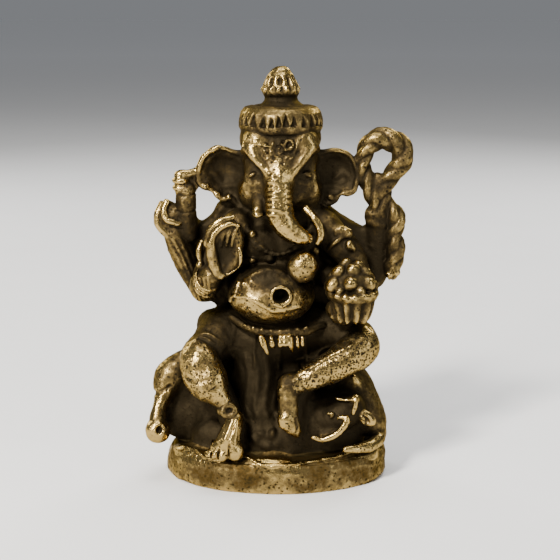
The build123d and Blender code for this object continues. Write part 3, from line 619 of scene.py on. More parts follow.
def ear(node, centre, edge, root, side, rim, hollows):
    """A cupped ear with a rounded rim.  edge runs round it from the head, and side is -1 or 1."""
    begin(node, centre)
    plate(edge + [root], -0.5, 1.3, blend=0.5, rounding=0.5)
    limb([(x * 0.955 + 0.15 * side, -0.5, z * 0.955 + 1.65, rim) for x, z in edge], blend=0.3)
    for place, radii, blend in zip(hollows, ((2.5, 2.3, 2.5), (1.3, 1.5, 0.9)), (0.5, 0.3)):
        blob(place, radii, blend=blend, cut=True)


def build_ears():
    edge = [(-3.4, 40.0), (-5.0, 39.9), (-6.2, 40.2), (-7.4, 40.3), (-8.8, 39.4), (-9.5, 37.9),
            (-9.7, 36.3), (-9.0, 35.5), (-8.0, 35.2), (-7.0, 34.3), (-6.4, 34.1), (-5.7, 34.3),
            (-4.9, 33.4), (-4.3, 33.1), (-3.5, 33.6)]
    hollows = (-6.4, -1.6, 37.5), (-5.9, -1.4, 35.3)
    ear("right_ear", (-6.4, 0.2, 36.8), edge, (-2.8, 36.6), -1, 0.36, hollows)
    limb([(-8.6, 0.2, 36.4, 0.2), (-7.7, 0.5, 37.0, 0.25), (-6.9, 0.6, 36.4, 0.2)], blend=0.5)
    for x, z in ((-5.8, 34.5), (-7.2, 34.75), (-8.5, 35.7)):
        blob((x, -0.7, z), (0.4, 0.36, 0.36), blend=0.25)
    edge = [(3.9, 40.0), (5.4, 39.9), (6.8, 40.1), (8.2, 39.9), (9.3, 38.8), (9.8, 37.0), (9.4, 35.2),
            (8.6, 34.7), (7.7, 34.8), (7.0, 34.0), (6.3, 33.6), (5.4, 33.6), (4.4, 33.8)]
    hollows = (6.9, -1.6, 37.4), (6.5, -1.4, 35.3)
    ear("left_ear", (6.8, 0.2, 36.8), edge, (3.4, 36.6), 1, 0.34, hollows)
    limb([(8.8, 0.3, 36.6, 0.2), (7.9, 0.6, 37.2, 0.22), (7.0, 0.6, 36.6, 0.2)], blend=0.5)
    blob((6.4, -0.8, 34.4), (0.45, 0.4, 0.42), blend=0.2)
    limb([(4.9, -0.9, 33.9, 0.14), (5.4, -1.0, 33.6, 0.18), (5.9, -0.9, 33.3, 0.14)], blend=0.12)


def build_back_arms():
    begin("right_back_arm", (-8.5, 1.1, 27.4))
    limb([(-5.0, 1.4, 31.0, 2.0), (-6.9, 1.4, 28.6, 2.0), (-8.8, 1.2, 25.3, 1.8), (-9.4, 1.0, 23.6, 1.5)],
         blend=0.6)
    limb([(-9.4, 0.9, 23.3, 1.45), (-10.6, 0.7, 25.4, 1.6), (-11.7, 0.4, 27.8, 1.6),
          (-12.4, 0.1, 29.8, 1.5)], blend=0.5)
    for x0, x1 in ((-13.4, -10.9), (-12.6, -10.4), (-11.7, -9.8)):
        emboss([(x0, 29.4), ((x0 + x1) / 2 + 0.1, 26.8), (x1, 24.0)], 0.1, 0.35)
        emboss([(x0 + 0.4, 29.4), ((x0 + x1) / 2 + 0.5, 26.8), (x1 + 0.4, 24.2)], -0.06, 0.22)
    begin("right_back_hand", (-13.0, -0.2, 31.8))
    blob((-13.0, 0.2, 31.7), (1.6, 1.35, 2.3), (0, -8, 0), blend=0.3)
    blob((-12.4, -0.4, 32.2), (1.1, 0.9, 1.3), blend=0.3)
    limb([(-13.9, -0.1, 33.5, 0.5), (-14.4, -0.4, 32.3, 0.6), (-14.2, -0.6, 31.0, 0.6),
          (-13.4, -0.7, 30.1, 0.5), (-12.6, -0.7, 29.6, 0.42)], blend=0.15)
    limb([(-13.3, -0.6, 33.9, 0.38), (-13.6, -1.0, 32.9, 0.44), (-13.2, -1.3, 31.9, 0.44),
          (-12.4, -1.4, 31.6, 0.38), (-11.8, -1.3, 31.4, 0.32)], blend=0.15)
    begin("axe_handle", (-11.2, -0.5, 32.6))
    limb([(-11.0, -0.3, 35.0, 1.25), (-11.0, -0.3, 34.0, 1.3), (-10.9, -0.3, 32.6, 1.3),
          (-10.7, -0.2, 31.0, 1.2), (-10.4, -0.1, 29.8, 1.0)], blend=0.4)
    ring((-10.95, -1.5, 33.9), (0, -1, 0.1), 0.42, 0.13, blend=0.1)
    emboss([(-12.3, 34.9), (-11.0, 34.7), (-9.8, 34.9)], -0.14, 0.16)
    emboss([(-12.2, 32.9), (-11.0, 32.7), (-9.7, 32.9)], -0.14, 0.16)
    begin("axe_head", (-11.2, -0.2, 36.8))
    for z, major, minor in ((35.6, 0.7, 0.32), (36.4, 0.76, 0.32)):
        ring((-11.6, -0.4, z), (0.1, 0, 1), major, minor, blend=0.12)
    limb([(-11.6, -0.4, 35.2, 0.75), (-11.65, -0.4, 36.8, 0.8)], blend=0.15)
    blob((-11.65, -0.4, 37.2), (0.75, 0.75, 0.55), blend=0.15)
    limb([(-11.3, -0.4, 37.1, 0.5), (-10.4, -0.3, 37.2, 0.5), (-9.4, -0.1, 37.4, 0.55)], blend=0.2)
    plate([(-10.9, 37.3), (-9.4, 37.5), (-9.2, 36.4), (-9.6, 35.3), (-10.8, 35.1)], -0.4, 0.5, blend=0.25)
    begin("left_back_arm", (8.8, 1.4, 27.9))
    limb([(5.4, 1.4, 31.2, 2.0), (7.6, 1.5, 29.6, 2.0), (9.8, 1.7, 27.4, 1.9), (11.6, 1.8, 25.0, 1.5)],
         blend=0.8)
    limb([(11.7, 1.6, 24.2, 1.4), (12.0, 1.3, 26.6, 1.4), (12.1, 1.0, 29.0, 1.4), (12.2, 0.8, 30.6, 1.4)],
         blend=0.8)
    begin("left_back_hand", (12.2, 0.3, 32.0))
    blob((12.1, 0.5, 31.9), (1.5, 1.3, 1.7), blend=0.4)
    for z in (31.2, 32.4):
        limb([(11.1, -0.1, z, 0.35), (11.9, -0.4, z - 0.1, 0.4), (12.8, -0.3, z - 0.2, 0.35)], blend=0.5)
    begin("noose_loop", (12.5, 0.0, 37.6))
    rope([(12.3, 0, 32.4, 0.95), (11.9, 0, 33.8, 1.05), (11.2, 0, 35.2, 1.1), (10.5, 0, 36.9, 1.05),
          (10.2, 0, 38.6, 1.1), (10.7, 0, 40.3, 1.2), (11.8, 0, 41.3, 1.35), (13.2, 0, 41.35, 1.4),
          (14.6, 0, 40.6, 1.45), (15.1, 0, 39.3, 1.4), (14.4, 0, 37.8, 1.25), (13.4, 0, 36.6, 1.15),
          (12.8, 0, 35.3, 1.05), (12.7, 0, 33.9, 0.95), (12.7, 0, 32.6, 0.9)], turns=10, depth=0.62,
         blend=0.12)
    blob((12.1, 0, 35.9), (1.25, 0.8, 1.45), blend=0.4)  # where the strands cross
    begin("noose_tail", (14.4, 0.1, 28.7))
    rope([(13.3, 0, 33.6, 0.8), (14.2, 0, 32.2, 1.15), (14.4, 0, 31.0, 1.15), (14.1, 0, 29.7, 1.0),
          (14.4, 0, 28.3, 1.2), (14.3, 0, 27.0, 1.15), (14.0, 0, 25.8, 1.05), (13.9, 0, 24.9, 0.8)],
         turns=5, blend=0.3)
    for x, z in ((13.6, 24.9), (14.4, 25.2)):
        blob((x, -0.6, z), (0.5, 0.5, 0.45), blend=0.15)


def build_front_arms():
    begin("right_front_arm", (-7.1, -2.9, 27.3))
    limb([(-4.8, -1.2, 31.2, 1.9), (-6.4, -1.8, 29.0, 1.9), (-8.0, -2.2, 26.2, 1.8),
          (-8.8, -2.3, 24.3, 1.7)], blend=0.6)
    limb([(-8.9, -2.4, 23.9, 1.7), (-8.5, -3.2, 24.6, 1.55), (-7.9, -3.9, 25.6, 1.35)], blend=0.3)
    limb([(-6.0, -0.8, 24.0, 1.6), (-8.4, -1.6, 23.4, 1.4)], blend=0.8)
    limb([(-9.1, -3.0, 29.4, 0.3), (-9.3, -3.3, 28.4, 0.42), (-9.2, -3.4, 27.4, 0.36)], blend=0.25)
    blob((-9.2, -3.7, 26.7), (0.5, 0.45, 0.6), blend=0.2)
    for k in range(5):
        x = -10.2 + 0.55 * k
        emboss([(x, 25.4), (x + 0.25, 23.8), (x + 0.8, 22.4)], -0.13, 0.16)
    begin("right_bracelet", (-8.3, -3.8, 24.8))
    for k in range(4):
        ring((-8.65 + 0.12 * k, -2.9 - 0.25 * k, 24.2 + 0.3 * k), (0.5, -0.75, 0.6), 1.6, 0.14, blend=0.15)
    begin("right_front_hand", (-6.2, -5.1, 28.8))
    blob((-6.3, -4.3, 28.9), (2.2, 1.05, 3.7), (0, 8, 0), blend=0.3)
    blob((-6.0, -5.7, 28.6), (1.45, 1.1, 2.9), (0, 6, 0), blend=0.25, cut=True)
    limb([(-5.2, -4.5, 32.6, 0.3), (-6.8, -4.7, 32.2, 0.4), (-8.0, -4.6, 31.0, 0.4),
          (-8.4, -4.4, 29.4, 0.34)], blend=0.15)
    limb([(-4.6, -5.0, 31.6, 0.25), (-5.6, -5.2, 31.9, 0.3), (-6.9, -5.2, 31.3, 0.38),
          (-7.7, -5.2, 30.2, 0.46), (-7.8, -5.2, 28.8, 0.56), (-7.7, -5.1, 27.4, 0.6),
          (-7.3, -5.0, 26.3, 0.62), (-6.8, -4.9, 25.7, 0.5)], blend=0.15)
    limb([(-6.8, -5.0, 25.7, 0.35), (-5.7, -5.1, 26.1, 0.13), (-4.8, -5.3, 26.8, 0.12),
          (-4.5, -5.5, 27.5, 0.2), (-4.5, -5.6, 28.3, 0.27), (-4.6, -5.5, 29.0, 0.18)], blend=0.12)
    for x in (-6.5, -5.9, -5.3):
        limb([(x + 0.6, -4.9, 31.5, 0.22), (x + 0.1, -5.0, 30.5, 0.24), (x - 0.2, -4.8, 29.2, 0.18)],
             blend=0.12)
    blob((-6.5, -4.7, 26.9), (0.28, 0.3, 0.26), blend=0.1)
    begin("left_front_arm", (7.7, -2.9, 26.5))
    limb([(5.6, -1.2, 31.0, 1.9), (7.2, -1.6, 29.4, 1.85), (8.8, -2.1, 27.6, 1.75), (9.4, -2.3, 26.2, 1.6)],
         blend=0.6)
    limb([(9.4, -2.4, 25.8, 1.6), (9.3, -3.2, 24.0, 1.4), (9.0, -4.2, 22.4, 1.3)], blend=0.3)
    limb([(6.0, -0.8, 25.0, 1.6), (8.6, -1.6, 24.0, 1.4)], blend=0.8)
    blob((8.7, -3.6, 29.1), (0.6, 0.5, 0.8), (0, -20, 0), blend=0.3)
    begin("left_armlet", (7.3, -1.9, 28.7))
    ring((7.3, -1.9, 29.3), (0.6, -0.2, -0.75), 1.75, 0.22, blend=0.3)
    blob((7.7, -2.9, 30.6), (1.35, 0.6, 0.85), (0, 8, 0), blend=0.3)
    for k in range(7):
        a = k * 0.9
        blob((7.7 + 0.8 * math.cos(a), -3.25, 30.6 + 0.45 * math.sin(a)), (0.34, 0.26, 0.28),
             (0, 35 * k, 0), blend=0.15)
    begin("left_front_hand", (7.6, -5.2, 21.2))
    blob((7.6, -4.7, 21.2), (2.0, 1.5, 1.4), (0, 25, 0), blend=0.5)
    for k in range(3):
        limb([(6.8 + 0.5 * k, -5.6, 20.4 - 0.1 * k, 0.35), (6.5 + 0.6 * k, -6.0, 21.0 - 0.2 * k, 0.3)],
             blend=0.25)


def build_bowl():
    begin("bowl", (8.8, -6.5, 22.4))

    def flutes(a, r, z):
        lobe = np.abs(np.cos(a * 5 + 0.35))
        rim = 0.08 * np.cos(a * 15) * np.clip((z - 23.6) * 4, 0, 1)
        return 0.5 * (1 - lobe) ** 0.8 * np.clip((23.3 - z) * 3, 0, 1) * np.clip((z - 20.3) * 3, 0, 1) + rim

    lathe((8.8, -6.4), [(0, 20.5), (1.8, 20.5), (2.1, 20.9), (2.45, 22.2), (2.65, 23.1), (2.95, 23.5),
                        (3.15, 23.8), (3.1, 24.15), (2.7, 24.3), (0, 24.4)], blend=0.12, ripple=flutes,
          bend=0.15)
    begin("sweets", (8.8, -6.5, 25.6))
    for x, y, z, r in ((6.5, -7.4, 25.1, 1.0), (8.6, -8.0, 25.3, 1.0), (10.6, -7.2, 25.1, 1.0),
                       (7.1, -6.9, 26.5, 0.95), (8.9, -7.1, 26.6, 0.95), (7.9, -5.9, 27.15, 0.85),
                       (9.5, -6.0, 27.0, 0.8), (10.3, -6.3, 26.3, 0.85), (7.3, -8.2, 24.5, 0.6),
                       (9.8, -8.3, 24.5, 0.65), (6.6, -5.2, 25.6, 0.9), (8.8, -5.0, 26.4, 1.0),
                       (10.7, -5.3, 25.5, 0.9), (6.2, -6.2, 24.8, 0.8), (11.2, -6.2, 24.8, 0.8)):
        blob((x, y, z), (r, r, r * 0.92), (0, 20 * x, 0), blend=0.06)
    blob((8.8, -6.4, 25.0), (2.5, 2.1, 1.8), blend=0.1)


for build in (build_base, build_seat, build_legs, build_mouse, build_torso, build_head, build_crown,
              build_ears, build_back_arms, build_front_arms, build_bowl):
    build()
close_piece()


# ---------------------------------------------------------------- the casting's own unevenness
metal += sum(height * noise(width, seed) for height, width, seed in BUMPS)
np.maximum(metal, -axes[2], out=metal)  # the underside is ground flat


def blur(values, radius):
    """A smooth average of values over about radius grid steps each way."""
    for axis in (0, 1, 2):
        for _ in range(2):
            pad = [(radius + 1, radius) if i == axis else (0, 0) for i in range(3)]
            total = np.cumsum(np.pad(values, pad, mode="edge"), axis=axis, dtype=np.float32)
            size = values.shape[axis]
            ahead = np.take(total, np.arange(2 * radius + 1, 2 * radius + 1 + size), axis)
            values = (ahead - np.take(total, np.arange(size), axis)) / (2 * radius + 1)
    return values


solid = np.clip(0.5 - metal / VOXEL, 0, 1).astype(np.float32)  # 1 in the metal, 0 in the air
half_count = count // 2
solid_half = solid[tuple(slice(0, 2 * n) for n in half_count)]  # the same on a grid of double spacing
solid_half = solid_half.reshape(np.stack([half_count, [2, 2, 2]], 1).ravel()).mean((1, 3, 5))
fine = blur(solid, max(1, round(FINE / VOXEL)))
middle = blur(solid_half, max(1, round(MIDDLE / VOXEL)))
broad = blur(solid_half, max(2, round(BROAD / VOXEL)))


CORNERS = [(a, b, c) for a in (0, 1) for b in (0, 1) for c in (0, 1)]


def sample(values, points, step=1.0):
    """Values between the grid points.  The points are in grid steps, and the values are step of them
    apart."""
    p = np.clip(points / step - (step - 1) / (2 * step), 0, np.array(values.shape) - 1.001)
    i = p.astype(int)
    f = (p - i).astype(np.float32)
    sides = (1 - f, f)
    out = 0
    for a, b, c in CORNERS:
        weight = sides[a][:, 0] * sides[b][:, 1] * sides[c][:, 2]
        out = out + weight * values[i[:, 0] + a, i[:, 1] + b, i[:, 2] + c]
    return out


def slope(values, points):
    """Which way values grow, at points in grid steps."""
    out = []
    for axis in range(3):
        step = np.zeros(3)
        step[axis] = 0.5
        out.append(sample(values, points + step) - sample(values, points - step))
    return np.stack(out, 1)


# ---------------------------------------------------------------- from the block of space to meshes
def skin(field):
    """A closed skin of quads where field crosses zero.  Each cell that it passes through gets one vertex."""
    field = field.copy()
    for axis in range(3):
        for end in (0, -1):
            field[tuple(end if i == axis else slice(None) for i in range(3))] = 1.0
    inside = field < 0
    n = np.array(field.shape)
    full = sum(inside[tuple(slice(a, m - 1 + a) for a, m in zip(corner, n))].astype(np.int8)
               for corner in CORNERS)
    cells = np.argwhere((full > 0) & (full < 8))
    number = np.full(n - 1, -1, np.int32)
    number[tuple(cells.T)] = np.arange(len(cells))
    total = np.zeros((len(cells), 3), np.float32)
    hits = np.zeros(len(cells), np.float32)
    for a in CORNERS:
        for axis in range(3):
            if a[axis]:
                continue
            b = tuple(1 if i == axis else a[i] for i in range(3))
            at_a = field[tuple((cells + a).T)]
            at_b = field[tuple((cells + b).T)]
            cross = (at_a < 0) != (at_b < 0)
            part = np.where(cross, at_a / np.where(cross, at_a - at_b, 1), 0)
            for i in range(3):
                total[:, i] += np.where(cross, a[i] + (part if i == axis else 0), 0)
            hits += cross
    points = cells + total / hits[:, None]
    quads = []
    for axis in range(3):
        u, v = (axis + 1) % 3, (axis + 2) % 3
        here = [slice(1, None)] * 3
        here[axis] = slice(0, n[axis] - 1)
        there = list(here)
        there[axis] = slice(1, None)
        change = inside[tuple(here)].astype(np.int8) - inside[tuple(there)]
        for sign in (1, -1):
            at = np.argwhere(change == sign)
            at[:, u] += 1
            at[:, v] += 1
            back_u = np.eye(3, dtype=int)[u]
            back_v = np.eye(3, dtype=int)[v]
            loop = [number[tuple((at - o).T)] for o in (back_u + back_v, back_v, 0 * back_u, back_u)]
            quads.append(np.stack(loop if sign > 0 else loop[::-1], 1))
    return points, np.concatenate(quads)


def without_crumbs(points, quads, least):
    """Leaves out the loose bits that have fewer than least vertices."""
    label = np.arange(len(points))
    while True:
        before = label.copy()
        low_label = label[quads].min(1)
        for k in range(4):
            np.minimum.at(label, quads[:, k], low_label)
        label = label[label]
        if (label == before).all():
            break
    size = np.bincount(label, minlength=len(points))
    keep = size[label] >= least
    new = np.cumsum(keep) - 1
    return points[keep], new[quads[keep[quads[:, 0]]]]


def to_mesh(name, points, quads):
    """A smooth-shaded Blender mesh, in metres."""
    mesh = bpy.data.meshes.new(name)
    mesh.vertices.add(len(points))
    mesh.vertices.foreach_set("co", ((low + points * VOXEL) * MM).astype(np.float32).ravel())
    mesh.loops.add(quads.size)
    mesh.loops.foreach_set("vertex_index", quads.astype(np.int32).ravel())
    mesh.polygons.add(len(quads))
    mesh.polygons.foreach_set("loop_start", np.arange(0, quads.size, 4, dtype=np.int32))
    mesh.update(calc_edges=True)
    mesh.shade_smooth()
    return mesh


def tell(mesh, name, values):
    """Stores a number for each vertex, for the material to read."""
    layer = mesh.attributes.new(name, "FLOAT", "POINT")
    layer.data.foreach_set("value", np.asarray(values, np.float32))


def sculpt(number):
    """Makes the mesh of one piece: the metal's surface where the piece is nearest, closed inside the metal,
    where it reaches a little under its neighbours."""
    node, region, distance = pieces[number]
    other = np.where(owner[region] == number, second[region], nearest[region])
    past = distance - other
    field = metal[region] + np.clip(past, 0, TUCK) * 0.1 + np.maximum(past - TUCK, 0) * 6
    points, quads = skin(field)
    for _ in range(2):  # settles the vertices onto the surface
        way = slope(field, points)
        move = -sample(field, points)[:, None] * way / np.maximum((way**2).sum(1), 1e-3)[:, None]
        points = points + np.clip(move, -0.35, 0.35)
    points, quads = without_crumbs(points, quads, CRUMB)
    points = points + [s.start for s in region]
    mesh = to_mesh(node, points, quads)
    out = slope(metal, points)
    out /= np.linalg.norm(out, axis=1)[:, None] + TINY
    tell(mesh, "fine", 0.5 - sample(fine, points))
    tell(mesh, "proud", 0.5 - sample(middle, points, 2))
    tell(mesh, "broad", 0.5 - sample(broad, points, 2))
    cover = sum(sample(middle, points + out * away / VOXEL, 2) for away in OVERHEAD) / len(OVERHEAD)
    tell(mesh, "cover", cover)
    return mesh


# ---------------------------------------------------------------- brass
def node_maker(material):
    """A short way to add nodes: add(type, {input: value or socket}, property=value) gives the new node."""
    tree = material.node_tree

    def add(kind, inputs=None, **settings):
        made = tree.nodes.new(kind)
        for key, value in settings.items():
            setattr(made, key, value)
        for key, value in (inputs or {}).items():
            if isinstance(value, bpy.types.NodeSocket):
                tree.links.new(value, made.inputs[key])
            else:
                made.inputs[key].default_value = value
        return made

    return add


BLACK = (0.027, 0.020, 0.0105)  # in the hollows
DARK = (0.05, 0.034, 0.014)
BROWNER = (0.019, 0.012, 0.0), (0.036, 0.018, 0.0)  # what full brown adds to black and to dark
BRONZE = (0.105, 0.072, 0.027)
BRASS = (0.215, 0.147, 0.049)
GOLD = (0.42, 0.29, 0.096)  # where it is rubbed most, and where highlights are painted
PAINTED_SHADE_TINT = (0.34, 0.32, 0.28)  # painted shade, darkens the covered places
EDGE_TINT = (0.72, 0.62, 0.46)  # reflections at a grazing angle
WEAR_AND_SHADE = {"proud": 1.1, "fine": 1.5, "broad": 0.8, "cover": -0.9}  # how much each tells about rubbing; the weight on cover also adds painted shade where metal covers a spot
DULL, BRIGHT = 0.66, 0.21  # roughness in the hollows and where it is rubbed


def brass(name, pits=1.0, pit_size=0.5, brown=0.0):
    """Old cast brass: pale gold where it is rubbed and where highlights are painted, dark brown to black in
    the hollows, with painted shade deepening covered places, and casting pits.
    """
    material = bpy.data.materials.new(name)
    material.use_nodes = True
    tree = material.node_tree
    tree.nodes.clear()
    add = node_maker(material)

    def maths(operation, a, b=0.0, clamp=False):
        return add("ShaderNodeMath", {0: a, 1: b}, operation=operation, use_clamp=clamp).outputs[0]

    def spread(value, a, b, c=0.0, d=1.0):
        inputs = {"Value": value, "From Min": a, "From Max": b, "To Min": c, "To Max": d}
        return add("ShaderNodeMapRange", inputs, interpolation_type="SMOOTHSTEP").outputs[0]

    def told(key):
        return add("ShaderNodeAttribute", attribute_name=key).outputs["Fac"]

    def plus(value, other, weight):
        return maths("ADD", value, maths("MULTIPLY", other, weight))

    place = add("ShaderNodeTexCoord").outputs["Object"]

    def mottle(millimetres, detail=3.0, rough=0.55):
        inputs = {"Vector": place, "Scale": 1 / (millimetres * MM), "Detail": detail, "Roughness": rough}
        return maths("SUBTRACT", add("ShaderNodeTexNoise", inputs).outputs["Fac"], 0.5)

    patches = mottle(2.6)
    grain = mottle(0.55, 4.0, 0.65)
    dust = mottle(0.16, 2.0)
    # rubbed where it stands proud at three sizes and nothing covers it, unevenly, on top of each piece's own
    # rubbing with its painted highlights and painted shade
    rubbed_and_lit = told("rub_and_light")
    for key, weight in WEAR_AND_SHADE.items():
        rubbed_and_lit = plus(rubbed_and_lit, told(key), weight)
    for value, weight in ((patches, 0.9 + 0.6 * brown), (grain, 0.9), (dust, 0.3)):
        rubbed_and_lit = plus(rubbed_and_lit, value, weight)
    # small pits, here and there, that keep their black
    cells = {"Vector": place, "Scale": 1 / (pit_size * MM), "Randomness": 1.0}
    holes = plus(add("ShaderNodeTexVoronoi", cells).outputs["Distance"], grain, 1.1)
    holes = spread(holes, 0.07 + 0.07 * pits, 0.21 + 0.09 * pits, 1.0, 0.0)
    here = spread(mottle(3.0), 0.1 - 0.16 * pits, 0.26 - 0.16 * pits)
    holes = maths("MULTIPLY", holes, here, clamp=True)
    gold = maths("SUBTRACT", spread(rubbed_and_lit, -0.4, 0.66), maths("MULTIPLY", holes, 0.9), clamp=True)
    tone = add("ShaderNodeValToRGB", {"Fac": gold})
    black, dark = [[a + brown * b for a, b in zip(*pair)] for pair in zip((BLACK, DARK), BROWNER)]
    elements = tone.color_ramp.elements
    for at in (0.25, 0.5, 0.75):
        elements.new(at)
    for element, colour in zip(elements, (black, dark, BRONZE, BRASS, GOLD)):
        element.color = (*colour, 1)
    # painted shade: the colour is darkened where much metal covers a spot, in the recesses where shade falls
    painted_shade_amount = spread(told("cover"), 0.12, 0.55, 0.0, 0.75)
    painted_shade = add("ShaderNodeMix", {"Factor": painted_shade_amount}, data_type="RGBA", blend_type="MULTIPLY")
    tree.links.new(tone.outputs["Color"], painted_shade.inputs[6])
    painted_shade.inputs[7].default_value = (*PAINTED_SHADE_TINT, 1)
    rough = plus(spread(gold, 0.0, 1.0, DULL, BRIGHT), dust, 0.2)
    height = plus(plus(maths("MULTIPLY", dust, 0.02), grain, 0.06), holes, -0.05)
    bump = add("ShaderNodeBump", {"Height": height, "Distance": MM, "Strength": 1.0}).outputs[0]
    inputs = {"Base Color": painted_shade.outputs[2], "Roughness": rough, "Metallic": 1.0, "Normal": bump}
    shader = add("ShaderNodeBsdfPrincipled", inputs)
    shader.inputs["Specular Tint"].default_value = (*EDGE_TINT, 1)
    add("ShaderNodeOutputMaterial", {"Surface": shader.outputs[0]})
    return material


RUB_AND_LIGHT = {  # how much more or less than its shape tells each piece is rubbed, partly wear and partly painted highlights and painted shade
    # base and seat
    "plinth": -0.12, "ground": 0.25, "seat": -0.68, "seat_left_rim": -0.12, "seat_right_roll": -0.1,
    "seat_front_rim": -0.16,
    # legs
    "hips": -0.4, "right_thigh": -0.3, "right_shin": 0.05, "right_anklet": -0.4, "right_foot": 0.25,
    "right_toes": 0.1, "left_thigh": -0.3, "left_shin": 0.1, "left_anklet": -0.14, "left_foot": -0.12,
    # mouse
    "mouse_body": -0.6, "mouse_ears": -0.15,
    # body
    "belly": 0.12, "chest": -0.3, "belt": -0.6, "pleats": 0.1, "necklace": -0.8, "modak": 0.02,
    # head
    "head": 0.12, "trunk": 0.15, "left_tusk": -0.05, "right_tusk": -0.15, "right_ear": -0.45,
    "left_ear": -0.6, "crown_band": -0.18, "crown_finial": -0.15,
    # back arms and what they hold
    "right_back_arm": -0.25, "right_back_hand": -0.12, "axe_handle": -0.42, "axe_head": -0.1,
    "left_back_arm": -0.45, "left_back_hand": -0.5, "noose_loop": -0.42, "noose_tail": -0.36,
    # front arms and what they hold
    "right_front_arm": -0.12, "right_front_hand": -0.15, "left_front_arm": -0.35, "left_armlet": -0.3,
    "left_front_hand": -0.25, "bowl": -0.28, "sweets": -0.2,
}
RUB_AND_LIGHT_SPOTS = (  # centre in millimetres, radius, and how much more or less that place is rubbed; these add wear, painted highlights and painted shade
    ((-1.0, -6.5, 25.6), 2.3, -0.6), ((-2.5, -7.0, 21.8), 2.2, 0.3), ((0.4, -5.0, 35.0), 2.5, 0.15),
    ((-9.3, -7.5, 15.5), 1.8, 0.15), ((6.0, -8.0, 15.0), 3.0, 0.1), ((2.2, -9.0, 8.6), 0.9, -0.5),
    ((0.4, 4.5, 38.0), 3.5, -0.3), ((-1.0, -5.5, 27.2), 1.8, -0.5), ((-2.9, -4.0, 36.2), 1.5, -0.25),
    ((3.6, -4.0, 36.2), 1.6, -0.45), ((0.2, -6.0, 36.2), 1.5, 0.4), ((-6.6, -5.6, 28.4), 1.2, -0.35),
    ((-4.4, -2.0, 41.3), 1.2, -0.4), ((5.1, -2.0, 41.3), 1.2, -0.5), ((-9.6, -5.6, 4.3), 1.6, 0.5),
    # painted highlights: the bright line along the ground's edge and broad glints on the back of the seat and
    # body
    ((-0.5, -8.9, 3.8), 3.0, 0.3), ((-6.0, 7.0, 9.0), 5.0, 0.55), ((6.0, 7.0, 9.0), 5.0, 0.55),
    ((0.0, 9.0, 6.0), 4.0, 0.4), ((0.0, 5.5, 26.0), 5.0, 0.35), ((0.0, 6.0, 17.0), 5.0, 0.35),
    ((12.5, 1.0, 7.0), 3.0, 0.25), ((1.4, -8.6, 13.7), 1.2, -0.6), ((5.3, -6.5, 7.3), 1.0, -0.7),
    ((9.7, -2.7, 12.0), 0.7, 0.5), ((0.5, -4.2, 40.8), 1.3, -0.22), ((-2.3, -4.2, 41.3), 0.8, 0.3),
    ((2.3, -6.8, 31.1), 1.3, -0.25), ((-2.9, -4.0, 37.6), 0.7, -0.4), ((3.5, -4.0, 37.6), 0.7, -0.4),
    ((-4.9, -5.0, 32.2), 0.9, -0.35),
)


def rubbing_and_light(node, mesh):
    """How much more or less than its shape tells a piece is rubbed at each vertex, with painted highlights
    and painted shade mixed in.
    """
    place = np.empty(len(mesh.vertices) * 3, np.float32)
    mesh.vertices.foreach_get("co", place)
    place = place.reshape(-1, 3) / MM
    amount = np.full(len(place), RUB_AND_LIGHT.get(node, 0.0))
    for centre, radius, more in RUB_AND_LIGHT_SPOTS:
        amount += more * np.exp(-((place - centre) ** 2).sum(1) / radius**2)
    return amount


finishes = {"plinth": brass("base_brass", brown=0.95, pits=1.4), "ground": brass("ground_brass", brown=0.6)}
for node, pits, size in (("belly", 1.5, 0.36), ("left_shin", 3.2, 0.3), ("right_shin", 1.9, 0.36),
                         ("left_foot", 1.2, 0.36)):
    finishes[node] = brass(node + "_brass", pits, size)
old_brass = brass("old_brass")
for number, (node, _, _) in enumerate(pieces):
    mesh = sculpt(number)
    # wear, together with painted highlights and painted shade
    tell(mesh, "rub_and_light", rubbing_and_light(node, mesh))
    piece = bpy.data.objects.new("cast_" + node, mesh)
    bpy.context.scene.collection.objects.link(piece)
    mesh.materials.append(finishes.get(node, old_brass))
    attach(piece, "root")
    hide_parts(node)


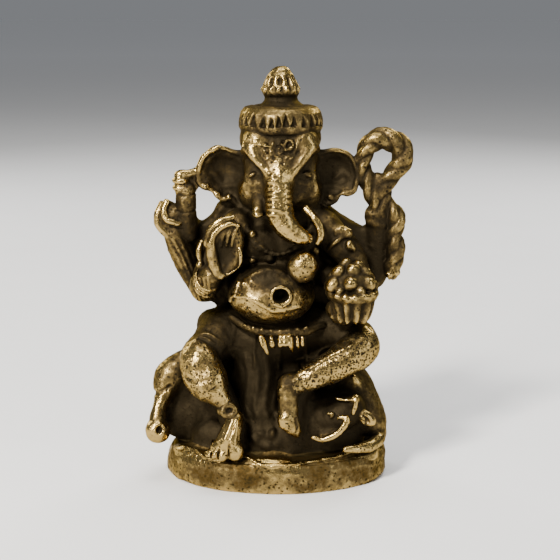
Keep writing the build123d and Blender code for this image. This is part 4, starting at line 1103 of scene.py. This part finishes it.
# ---------------------------------------------------------------- floor, light and camera
def floor():
    """A plain pale floor, with a fine mottle.  It gets paler far away, painted light where the lamps' light
    falls off, so that its edge doesn't show.
    """
    half = 3.0
    mesh = bpy.data.meshes.new("floor")
    mesh.from_pydata([(-half, -half, 0), (half, -half, 0), (half, half, 0), (-half, half, 0)], [],
                     [(0, 1, 2, 3)])
    material = bpy.data.materials.new("pale_floor")
    material.use_nodes = True
    add = node_maker(material)
    place = add("ShaderNodeTexCoord").outputs["Object"]
    mottle = add("ShaderNodeTexNoise", {"Vector": place, "Scale": 60.0, "Detail": 4.0}).outputs["Fac"]
    mix = add("ShaderNodeMix", {"Factor": mottle}, data_type="RGBA")
    mix.inputs[6].default_value = (0.70, 0.69, 0.67, 1)
    mix.inputs[7].default_value = (0.74, 0.73, 0.71, 1)
    # painted light: the floor's colour turns white away from the middle
    away = add("ShaderNodeVectorMath", {0: place}, operation="LENGTH").outputs["Value"]
    far = add("ShaderNodeMapRange", {"Value": away, "From Min": 0.15, "From Max": 1.2}).outputs[0]
    fade = add("ShaderNodeMix", {0: far, 6: mix.outputs[2]}, data_type="RGBA")
    fade.inputs[7].default_value = (1.0, 1.0, 1.0, 1)
    shader = material.node_tree.nodes["Principled BSDF"]
    material.node_tree.links.new(fade.outputs[2], shader.inputs["Base Color"])
    shader.inputs["Roughness"].default_value = 0.9
    shader.inputs["Specular IOR Level"].default_value = 0.1
    mesh.materials.append(material)
    thing = bpy.data.objects.new("floor", mesh)
    bpy.context.scene.collection.objects.link(thing)


def lamp(name, place, target, size, power, colour=(1, 1, 1)):
    """A soft square light that faces a target.  Places and sizes are in metres."""
    light = bpy.data.lights.new(name, "AREA")
    light.shape = "RECTANGLE"
    light.size, light.size_y = size
    light.energy = power
    light.color = colour
    thing = bpy.data.objects.new(name, light)
    thing.location = place
    thing.rotation_euler = (Vector(target) - Vector(place)).to_track_quat("-Z", "Y").to_euler()
    bpy.context.scene.collection.objects.link(thing)


def surroundings():
    """Soft even light from all round."""
    world = bpy.data.worlds.new("studio")
    bpy.context.scene.world = world
    world.use_nodes = True
    back = world.node_tree.nodes["Background"]
    back.inputs["Color"].default_value = (0.80, 0.83, 0.88, 1)
    back.inputs["Strength"].default_value = 0.25


floor()
surroundings()
MIDDLE_OF_IT = (0.0, 0.0, 0.025)
lamp("key", (-0.12, -0.20, 0.24), MIDDLE_OF_IT, (0.05, 0.05), 2.1, (1.0, 0.97, 0.92))
lamp("window", (-0.18, -0.23, 0.12), (0.0, 0.0, 0.035), (0.03, 0.05), 0.45, (1.0, 0.95, 0.86))
lamp("fill", (0.26, -0.20, 0.12), MIDDLE_OF_IT, (0.10, 0.20), 0.35, (0.95, 0.97, 1.0))
lamp("top", (0.02, 0.02, 0.34), MIDDLE_OF_IT, (0.20, 0.16), 0.9)
lamp("rim", (0.16, 0.24, 0.20), MIDDLE_OF_IT, (0.14, 0.10), 0.7)
lamp("back", (-0.20, 0.22, 0.14), MIDDLE_OF_IT, (0.10, 0.14), 0.5)

LENS = 91.42
EYE = (0.31, -170, 58.605)  # in millimetres
LOOKS_DOWN = 11.45  # in degrees
camera = bpy.data.cameras.new("camera")
camera.lens = LENS
camera.clip_start = 0.01
eye = bpy.data.objects.new("camera", camera)
eye.location = Vector(EYE) * MM
eye.rotation_euler = (math.radians(90 - LOOKS_DOWN), 0, 0)
bpy.context.scene.collection.objects.link(eye)
bpy.context.scene.camera = eye
